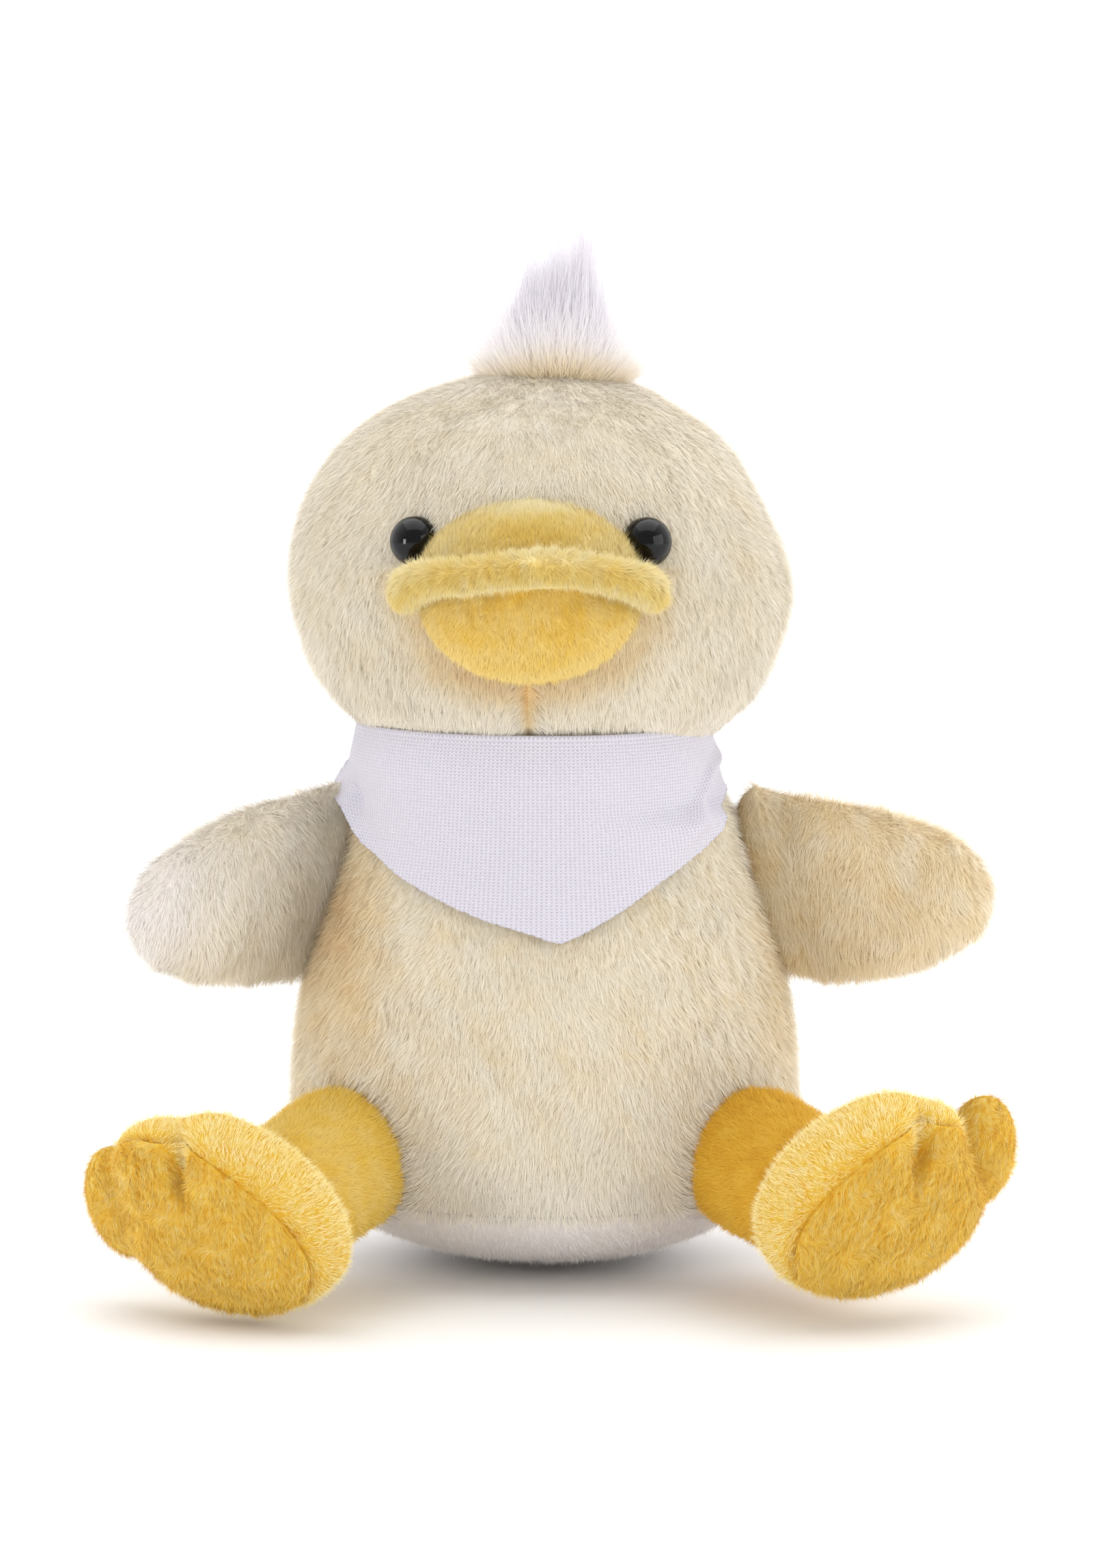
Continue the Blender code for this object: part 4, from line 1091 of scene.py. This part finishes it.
# The cloth: at each angle it runs from the top edge down to that height, lifted off the body,
# flaring out over the wings' roots, with soft folds that fan out from the neck.
def bandanaPlace(angle, share, lift):
    ahead = np.maximum(np.cos(angle), 0)
    top = bandana["topZ"] + bandana["frontRise"] * ahead
    height = top + (bandanaEdge(angle) - top) * share
    slim = 1 - ramp(np.sin(angle), 0, 0.7) * (0.03 + 0.12 * ramp(height, 73.5 * mm, 77.5 * mm))
    wide, deep = bodyWidth(height) * slim, bodyDepth(height)
    side = np.abs(np.sin(angle))
    flare = np.where(np.sin(angle) < 0, 2.2 * mm, 0.8 * mm) * ramp(side, 0.75, 1) * share**8
    bulge = 2.0 * mm * np.cos(math.pi / 2 * share) * ahead
    folds = 0.45 * mm * np.sin(6 * angle + 5 * share + 0.8) * share * side
    along = ramp(angle, 0.5, 0.9) * fall(angle, 1.3, 1.6)
    fold = 1.5 * mm * bell(share - 0.55 - 0.5 * (1.25 - angle), 0.1) * along
    dimple = -1.6 * mm * bell(share - 0.78, 0.1) * bell(angle + 1.22, 0.1)
    out = lift + flare + bulge + folds + fold + dimple
    return np.stack([(wide + out) * np.sin(angle), -(deep + out) * np.cos(angle), height], -1)


def makeBandana():
    around, down = bandana["around"], bandana["down"]
    angles = np.linspace(-math.pi, math.pi, around, endpoint=False)
    shares = np.linspace(0, 1, down + 1)
    angle, share = (grid.ravel() for grid in np.meshgrid(angles, shares, indexing="ij"))
    rng = np.random.default_rng(81)
    ragged = np.repeat(rng.uniform(-1, 1, around), down + 1) * 0.16 * mm
    layers = []
    for lift in (bandana["lift"], bandana["lift"] + bandana["cloth"]):
        places = bandanaPlace(angle, share, lift)
        places[:, 2] += ragged * (share > 0.995)
        layers.append(places)
    outside = layers[1]
    half = len(angle)
    index = np.arange(half).reshape(around, down + 1)
    after = np.roll(index, -1, axis=0)
    inner = np.stack([index[:, :-1], after[:, :-1], after[:, 1:], index[:, 1:]], -1).reshape(-1, 4)
    outer = inner[:, ::-1] + half
    rims = []
    for j, flip in ((0, 1), (down, -1)):
        rim = np.stack([index[:, j], index[:, j] + half, after[:, j] + half, after[:, j]], -1)
        rims.append(rim[:, ::flip])
    drop = np.linalg.norm(outside - bandanaPlace(angle, share * 0, 0), axis=1)
    uv = knitMap(angle * 33 * mm, drop)
    faces = [np.vstack([inner, outer, *rims])]
    cloth = meshFrom("bandana_cloth", np.vstack(layers), faces, None, "knitMap", np.vstack([uv, uv]))
    dress(cloth, knitFinish(), "torso", "bandana_knit", "bandana")


# The cloth's map: one for a hundred wales across, and one for a hundred courses down.
def knitMap(across, down):
    return np.stack([across / bandana["wale"], down / bandana["course"]], 1) * 0.01


# Knit: the product of a sine row over the wales and one over the courses gives its dots, the
# wales alone its ribs, and the noise its yarn.
def knitFinish():
    material, tree, shader = newFinish("bandanaKnit", bandana["shine"])
    parts = mapParts(tree, "knitMap")

    def maths(operation, first, second=0.0):
        node = addNode(tree, "Math", operation=operation)
        for socket, value in zip(node.inputs, (first, second)):
            if isinstance(value, bpy.types.NodeSocket):
                tree.links.new(value, socket)
            else:
                socket.default_value = value
        return node.outputs[0]

    wale, course = (maths("SINE", maths("MULTIPLY", parts[way], 200 * math.pi)) for way in "XY")
    dots = maths("MULTIPLY", maths("MULTIPLY", wale, course), 0.5)
    yarn = maths("MULTIPLY", fineNoise(tree, 0.25 * mm), 0.5)
    height = maths("ADD", maths("ADD", dots, maths("MULTIPLY", wale, 0.35)), yarn)
    # The colour follows that same height, darker where the knit is low: painted shade in its hollows,
    # over the knit's own dots and ribs.
    tones = colourRamp(tree, bandana["tones"])
    tree.links.new(maths("ADD", maths("MULTIPLY", height, 0.45), 0.4), tones.inputs["Fac"])
    tree.links.new(tones.outputs["Color"], shader.inputs["Base Color"])
    addBump(tree, shader, height, 0.8, 0.15 * mm)
    return material


knot = {
    "radius": 4.4 * mm,
    "flatness": np.array([1, 0.85, 0.9]),
    "nape": 0.4,  # how far down the band it sits
    "tail": np.array([15, 1.5, -7.5]) * mm,  # from the middle to the tip
    "tailHalf": (1.4 * mm, 3.0 * mm),  # at the knot and at the tip
    "tailThin": 0.9 * mm,
}


# The knot at the nape: a ball with five slanting ridges, and two tails. Each tail is an oval
# carried outwards and down along its line, wider towards its end and closed round there.
def makeKnot():
    low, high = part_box("bandana_knot")
    nape = bandanaPlace(np.array([math.pi]), np.array([knot["nape"]]), bandana["lift"])[0]
    height = high.z - (high.x - low.x) * 0.19
    middle = np.array([0.0, nape[1] + 0.6 * knot["radius"], height])

    def lump(u, v):
        wrap = 1 + 0.09 * np.sin(10 * math.pi * u + 4 * math.pi * v)
        return middle + ball(u, v) * knot["flatness"] * knot["radius"] * wrap[:, None]

    def tailForm(side):
        def place(u, v):
            turn, sweep = 2 * math.pi * u, math.pi * v
            along = (1 - np.cos(sweep)) / 2
            full = np.sin(sweep) ** 0.5
            way = np.stack([side * along, along, along**1.3], -1) * knot["tail"]
            start, end = knot["tailHalf"]
            wide = (start + (end - start) * along) * full
            x = 0.45 * wide * np.sin(turn) * side
            y = knot["tailThin"] * full * np.cos(turn) * side + 0.5 * mm * np.sin(8 * along)
            return middle + way + np.stack([x, y, wide * np.sin(turn)], -1)
        return place

    forms = [lump, tailForm(-1), tailForm(1)]
    wrap = skinOver("knot_wrap", forms, evenTone(0.5), 60, 40)
    corners = np.empty(len(wrap.data.loops), np.int32)
    wrap.data.loops.foreach_get("vertex_index", corners)
    spots = np.empty(len(wrap.data.vertices) * 3)
    wrap.data.vertices.foreach_get("co", spots)
    spots = spots.reshape(-1, 3)[corners]
    layer = wrap.data.uv_layers[0]
    layer.name = "knitMap"
    layer.uv.foreach_set("vector", knitMap(spots[:, 0], spots[:, 2]).astype(np.float32).ravel())
    dress(wrap, bpy.data.materials["bandanaKnit"], "torso", "bandana_knit", "bandana_knot")


wingShape = {
    "seamHalf": 16.4 * mm,
    "seamZ": 60.8 * mm,
    "seamY": -2 * mm,
    "root": 6.2 * mm,
    "rootShare": 0.14,  # of v
    "standOff": 2.5 * mm,
    "length": 32.5 * mm,
    "fullness": 9 * mm,
    "droop": {"left": (9.3 * mm, 0.9), "right": (8.6 * mm, 0.65)},
    "raise": 1.5 * mm,  # of the root
    # Painted light and shade: the left wing lighter, as the lit side, and the right one deeper, as the
    # shaded side.
    "tone": {"left": 0.58, "right": 0.3},
    "paler": {"left": 0.28, "right": 0},  # at the tip
    "forward": {"left": math.radians(36), "right": math.radians(10)},
    "heights": {
        "left": [
            (0, 1.03), (0.262, 0.92), (0.41, 0.81), (0.566, 0.65), (0.685, 0.52), (0.813, 0.3), (1, 0),
        ],
        "right": [(0, 1), (0.174, 0.94), (0.363, 0.82), (0.56, 0.65), (0.76, 0.44), (1, 0)],
    },
    "thicks": [
        (0, 0.69), (0.077, 0.69), (0.297, 1), (0.494, 0.93), (0.685, 0.66), (0.819, 0.42), (1, 0),
    ],
    "sink": 0.7 * mm,
}


# Seam middle, and the outward, seam and thickness directions of a wing.
def wingAxes(label, side):
    ends = wingShape["seamZ"] + wingShape["seamHalf"] * np.array([1, -1])
    lean = float(np.diff(-bodyWidth(ends))[0])
    seam = unit(np.array([side * lean, 0, 2 * wingShape["seamHalf"]]))
    outward = unit(np.cross(seam, [0, side, 0]))
    outward = outward * np.sign(outward[0] * side)
    angle = -side * wingShape["forward"][label]
    flat = np.cross(seam, outward)
    outward = outward * math.cos(angle) + flat * math.sin(angle)
    half = float(bodyWidth(np.array([wingShape["seamZ"]]))[0]) + wingShape["standOff"]
    middle = np.array([side * half, wingShape["seamY"], wingShape["seamZ"]])
    return middle, outward, seam, np.cross(seam, outward)


# The paddle: an oval in the seam's plane, carried outwards. A quarter turn rounds the root, and
# from the seam on the sine of v sets how far out it is, so the tip closes round.
def wingForm(label, side, grow):
    middle, outward, seam, flat = wingAxes(label, side)
    part = wingShape["rootShare"]

    def place(u, v):
        turn = 2 * math.pi * u
        rootTurn = math.pi / 2 * np.clip(v / part, 0, 1)
        t = np.clip((v - part) / (1 - part), 0, 1)
        share = np.sin(math.pi / 2 * t)
        root = -(wingShape["root"] + grow) * np.cos(rootTurn)
        ahead = np.where(v < part, root, (wingShape["length"] + grow) * share)
        closing = np.where(v < part, np.sin(rootTurn) ** 0.45, 1.0)
        edge = grow * np.sqrt(np.clip(1 - t**6, 0, 1))
        high = wingShape["seamHalf"] * curveThrough(wingShape["heights"][label], t) + edge
        thick = wingShape["fullness"] * curveThrough(wingShape["thicks"], t) + edge
        high, thick = np.maximum(high, 0) * closing, np.maximum(thick, 0) * closing
        fall, bend = wingShape["droop"][label]
        drop = fall * share**bend - wingShape["raise"]
        spot = middle + outward * ahead[:, None] - seam * drop[:, None]
        return spot + oval(turn, seam, high, flat, thick)
    return place


def makeWing(label, side):
    middle, outward = wingAxes(label, side)[:2]
    form, body = wingForm(label, side, -wingShape["sink"]), "wing_" + label

    # Painted shade at the root, where the wing meets the body, with mottle and a paler tip.
    def tone(places):
        out = (places - middle) @ outward
        mottle = 0.04 * waves(places, 9 * mm, 91) + 0.04 * waves(places, 3 * mm, 92)
        paler = wingShape["paler"][label] * ramp(out, 18 * mm, 31 * mm)
        return wingShape["tone"][label] + mottle + paler - 0.26 * fall(out, -6 * mm, -1.5 * mm)

    def comb(places):
        return outward * (0.2 + 0.45 * waves(places, 12 * mm, 93)[:, None]) - upward

    def keep(places, normals):
        return ((places - middle) @ outward > -5 * mm).astype(float)

    look, nodes = ("creamBacking", body, "cream_plush"), (body, "wing_stuffing_" + label)
    paddedSkin("wing_backing_" + label, [form], tone, (110, 90), look, nodes)
    look = ("cream", body, "cream_plush")
    pile = creamPile | {"count": 36000, "seed": 94 + side, "lie": 0.6, "length": 2.5 * mm, "own": 0.6}
    furOver("wing_pile_" + label, form, look, pile, comb, tone, keep)


legShape = {
    "hip": np.array([33.2, -26, 20.6]) * mm,
    "ankle": {-1: np.array([-40.5, -41, 18]) * mm, 1: np.array([40.5, -41, 19.2]) * mm},
    "ends": 0.3,  # of v, in each rounded end
    "hipRadius": 12.4 * mm,
    "ankleRadius": 11.8 * mm,
    "sink": 0.9 * mm,
}


# Hip and ankle: the middles of the balls that round a leg's ends.
def legEnds(side):
    return legShape["hip"] * [side, 1, 1], legShape["ankle"][side]


# How far a place is from a leg's axis, in leg radii.
def legShare(places, side):
    hip, ankle = legEnds(side)
    along = ankle - hip
    t = np.clip((places - hip) @ along / (along @ along), 0, 1)
    near = hip + t[:, None] * along
    radius = legShape["hipRadius"] + (legShape["ankleRadius"] - legShape["hipRadius"]) * t
    return np.linalg.norm(places - near, axis=1) / radius


# The leg: a circle carried from hip to ankle, its radius going evenly from one to the other. At
# each end a quarter turn takes the circle's radius down by a cosine and out by a sine.
def legForm(side, grow):
    hip, ankle = legEnds(side)
    along = unit(ankle - hip)
    across = unit(np.cross(along, upward))
    rise = np.cross(across, along)
    reach, part = np.linalg.norm(ankle - hip), legShape["ends"]

    def place(u, v):
        turn = 2 * math.pi * u
        start = math.pi / 2 * (1 - np.clip(v / part, 0, 1))
        end = math.pi / 2 * np.clip((v - 1 + part) / part, 0, 1)
        t = np.clip((v - part) / (1 - 2 * part), 0, 1)
        radius = (legShape["hipRadius"] * (1 - t) + legShape["ankleRadius"] * t) + grow
        ahead = reach * t - radius * np.sin(start) + radius * np.sin(end)
        wide = radius * np.cos(start) * np.cos(end)
        return hip + along * ahead[:, None] + oval(turn, across, wide, rise, wide)
    return place


footShape = {
    "halves": np.array([22.0, 17.0, 9.2]) * mm,  # along, across and thick
    "toAnkle": 12.8 * mm,
    "ankleBack": 8 * mm,
    "soleNormal": np.array([0.40, -0.88, -0.25]),
    "toeWay": np.array([0.87, 0.24, 0.45]),
    "notch": math.radians(58),
    "notchSpread": math.radians(10),
    "seam": (0.3, 0.42, math.radians(110)),  # its share of the thickness: middle, swing and bearing
    "toeHalves": np.array([6.6, 5.8, 10.0]) * mm,
    "toeSink": 2.8 * mm,
    "sink": 0.8 * mm,
    # shift: of the pad, ahead and across. reach: how far the pad goes at each bearing from the
    # toes, as a share of its oval. toe and toeWay: the outer toe's middle and direction.
    "left": {
        "shift": np.array([-0.8, 0.2]) * mm,
        "reach": [
            (-180, 1.06), (-150, 0.98), (-120, 0.97), (-90, 0.97), (-62, 0.9), (-42, 0.77),
            (-25, 0.73), (-5, 0.8), (12, 0.86), (30, 0.86), (52, 0.84), (72, 0.95), (92, 1.0),
            (110, 1.05), (130, 1.1), (150, 1.12), (168, 1.11), (180, 1.06),
        ],
        "toe": np.array([13.7, -9.4]) * mm,
        "toeWay": np.array([0.61, 0.79]),
    },
    "right": {
        "shift": np.array([0.2, 1.2]) * mm,
        "reach": [
            (-180, 1.0), (-150, 0.96), (-120, 0.96), (-90, 0.98), (-60, 0.95), (-40, 0.86),
            (-20, 0.73), (0, 0.68), (16, 0.72), (32, 0.82), (52, 0.88), (70, 0.99), (92, 1.05),
            (108, 1.08), (122, 1.1), (145, 1.09), (165, 1.05), (180, 1.0),
        ],
        "toe": np.array([17.2, -3.0]) * mm,
        "toeWay": np.array([0.5, 0.87]),
    },
}


# Middle of a foot's pad, and the directions to its toes, across it and out of its sole.
def footAxes(side):
    sole = unit(footShape["soleNormal"] * [side, 1, 1])
    toe = footShape["toeWay"] * [side, 1, 1]
    toe = unit(toe - sole * (toe @ sole))
    across = side * np.cross(sole, toe)
    ankle = legEnds(side)[1]
    return ankle + sole * footShape["toAnkle"] + toe * footShape["ankleBack"], toe, across, sole


# Places as seen from a foot's pad.
def footLocal(places, side):
    middle, toe, across, sole = footAxes(side)
    return (places - middle) @ np.stack([toe, across, sole]).T


# The foot's pad: an ellipsoid whose reach at each bearing is a curve through shares. It is thinner
# by a bell where two toes meet, and drawn in by a bell at the seam of sole and top.
def padForm(label, side, grow):
    middle, toe, across, sole = footAxes(side)
    own = footShape[label]
    middle = middle + own["shift"] @ np.stack([toe, across])

    def place(u, v):
        turn, polar = 2 * math.pi * u, math.pi * v
        edge, out = np.sin(polar), -np.cos(polar)
        bearing = (turn + math.pi) % (2 * math.pi) - math.pi
        between = bell(bearing - footShape["notch"], footShape["notchSpread"])
        reach = 1 - (1 - curveThrough(own["reach"], np.degrees(bearing))) * edge**0.5
        thick = 1 - 0.5 * between * ramp(edge, 0.1, 0.55)
        seam = bell(out - seamShare(bearing), 0.04) * (0.075 + 0.03 * between)
        full = edge**0.86 * (reach - seam)
        local = np.stack([np.cos(turn) * full, np.sin(turn) * full, out * thick], -1)
        return middle + (local * (footShape["halves"] + grow)) @ np.stack([toe, across, sole])
    return place


# Where the seam lies, as a share of the thickness: a middle and a cosine of the bearing.
def seamShare(bearing):
    middle, swing, at = footShape["seam"]
    return middle + swing * np.cos(bearing - at)


# The outer toe: a unit ball times three half sizes, that comes out from behind the pad.
def toeForm(label, side, grow):
    middle, toe, across, sole = footAxes(side)
    own = footShape[label]
    centre = middle + own["toe"] @ np.stack([toe, across]) - sole * footShape["toeSink"]
    way = unit(own["toeWay"] @ np.stack([toe, across]))
    axes = np.stack([unit(np.cross(sole, way)), sole, way])
    return lambda u, v: centre + (ball(u, v) * (footShape["toeHalves"] + grow)) @ axes


# Painted shade: deeper on the right, the shaded side, and deeper near the body, where the hip meets it.
def legTone(places):
    mottle = 0.08 * waves(places, 6 * mm, 101) + 0.06 * waves(places, 1.6 * mm, 102)
    inner = ramp(places[:, 1], -40 * mm, -26 * mm)
    return 0.5 - 0.22 * np.sign(places[:, 0]) + mottle - 0.1 * inner


def soleTone(places):
    return 0.6 + 0.07 * waves(places, 5 * mm, 103) + 0.24 * waves(places, 1.2 * mm, 104)


def topTone(places):
    return 0.7 + 0.06 * waves(places, 5 * mm, 105) + 0.06 * waves(places, 1.2 * mm, 106)


def makeLeg(label, side):
    form, body = legForm(side, -legShape["sink"]), "leg_" + label
    look, nodes = ("goldBacking", body, "golden_plush"), (body, "leg_stuffing_" + label)
    paddedSkin("leg_backing_" + label, [form], legTone, (80, 60), look, nodes)
    hip, ankle = legEnds(side)
    comb = lambda places: unit(hip - ankle) - 0.3 * upward
    pile = minkyPile | {"count": 24000, "seed": 107 + side, "own": 0.5, "spin": 0.2}
    furOver("leg_pile_" + label, form, ("gold", body, "golden_plush"), pile, comb, legTone)


def makeFoot(label, side):
    toe, across, sole = footAxes(side)[1:]
    pad, outer = (make(label, side, -footShape["sink"]) for make in (padForm, toeForm))
    body, gold = "foot_" + label, ("gold", "foot_" + label, "golden_plush")

    # How far a place is above the seam, on the sole's side.
    def above(places):
        local = footLocal(places, side)
        local[:, :2] -= footShape[label]["shift"]
        ahead, aside, thick = footShape["halves"]
        bearing = np.arctan2(local[:, 1] / aside, local[:, 0] / ahead)
        return local[:, 2] - seamShare(bearing) * (thick - footShape["sink"])

    def creased(tone):
        return lambda places: tone(places) - 0.22 * bell(above(places), 0.6 * mm)

    def comb(places):
        swirl = 0.5 * waves(places, 6 * mm, 108)[:, None] * toe
        return across * 0.2 - upward * 0.6 + swirl

    def backComb(places):
        return 0.3 * waves(places, 6 * mm, 112)[:, None] * toe - sole

    onSole = lambda places, normals: (above(places) > 0).astype(float)
    onTop = lambda places, normals: (above(places) <= 0).astype(float)
    nodes = ("foot_sole_" + label, "foot_top_" + label, "foot_stuffing_" + label)
    look = ("goldBacking", body, "golden_plush")
    paddedSkin("foot_backing_" + label, [pad, outer], creased(soleTone), (140, 150), look, nodes)
    pile = minkyPile | {"count": 17000, "seed": 109 + side, "upright": 0.25}
    furOver("sole_pile_" + label, pad, gold, pile, comb, creased(soleTone), onSole)
    pile = minkyPile | {"count": 16000, "seed": 111 + side, "own": 0.45, "spin": 0.2}
    look = ("pale", body, "pale_yellow_plush")
    furOver("top_pile_" + label, pad, look, pile, backComb, creased(topTone), onTop)
    pile = minkyPile | {"count": 7000, "seed": 113 + side}
    furOver("toe_pile_" + label, outer, gold, pile, comb, soleTone)


studio = {
    "distance": 1.0,
    "elevation": math.radians(8),
    "aim": (0.28 * mm, 0, 77.3 * mm),
    "lens": 142.5,
    "sensor": 36,
    "world": (-0.8, 0.3, 0.5, 1.25),  # where its rise from the front starts and ends, and its strengths
    # name: place, aim, size and power
    "lights": {
        "keyLeft": ((-0.76, -0.72, 0.13), (0, 0, 0.06), (0.2, 0.4), 3.0),
        "fillRight": ((0.87, -0.6, 0.36), (0, 0, 0.05), (1.0, 0.7), 4.1),
        "above": ((0, 0.1, 1.2), (0, 0, 0), (1.5, 1.5), 7.2),
    },
    "floor": (3.2, 7, 1.6),  # to each side, in front and behind
}


def makeFloor():
    side, front, back = studio["floor"]
    corners = np.array([[-side, -front, 0], [side, -front, 0], [side, back, 0], [-side, back, 0]])
    floor = meshFrom("floor", corners, [np.array([[0, 1, 2, 3]])])
    values = {"Roughness": 0.9, "Specular IOR Level": 0.1, "Base Color": (0.97, 0.97, 0.97, 1)}
    floor.data.materials.append(newFinish("paleFloor", values)[0])


# Puts a lamp or a camera at a place, looking along a direction.
def pointAlong(name, data, place, way):
    obj = bpy.data.objects.new(name, data)
    obj.location = place
    obj.rotation_euler = Vector(way).to_track_quat("-Z", "Y").to_euler()
    bpy.context.scene.collection.objects.link(obj)
    return obj


def makeLight(name, place, aim, size, power):
    lamp = bpy.data.lights.new(name, "AREA")
    lamp.shape = "RECTANGLE"
    lamp.size, lamp.size_y = size
    lamp.energy = power
    pointAlong(name, lamp, place, Vector(aim) - Vector(place))


# World light: white, and its strength rises from front to back by a smooth step.
def makeWorld():
    world = bpy.data.worlds.new("studio")
    world.use_nodes = True
    tree = world.node_tree
    back = tree.nodes["Background"]
    coords, split = addNode(tree, "TexCoord"), addNode(tree, "SeparateXYZ")
    spread = addNode(tree, "MapRange", interpolation_type="SMOOTHSTEP")
    for socket, value in zip(spread.inputs[1:5], studio["world"]):
        socket.default_value = value
    tree.links.new(coords.outputs["Generated"], split.inputs["Vector"])
    tree.links.new(split.outputs["Y"], spread.inputs["Value"])
    tree.links.new(spread.outputs["Result"], back.inputs["Strength"])
    back.inputs["Color"].default_value = (1, 1, 1, 1)
    bpy.context.scene.world = world


def makeStudio():
    makeFloor()
    makeWorld()
    for name, values in studio["lights"].items():
        makeLight(name, *values)
    camera = bpy.data.cameras.new("photoView")
    camera.lens = studio["lens"]
    camera.sensor_fit = "VERTICAL"
    camera.sensor_height = camera.sensor_width = studio["sensor"]
    camera.clip_start = 0.01
    forward = Vector((0, math.cos(studio["elevation"]), -math.sin(studio["elevation"])))
    place = Vector(studio["aim"]) - forward * studio["distance"]
    bpy.context.scene.camera = pointAlong("photoView", camera, place, forward)
    bpy.context.scene.view_settings.view_transform = "Standard"
    print("studio done")


for make in (makeHead, makeEyes, makeBeak, makeTuft, makeBody, makeNeck, makeTail):
    make()
makeBandana()
makeKnot()
for label, side in sides.items():
    makeWing(label, side)
    makeLeg(label, side)
    makeFoot(label, side)
print("wings, legs and feet done")
makeStudio()
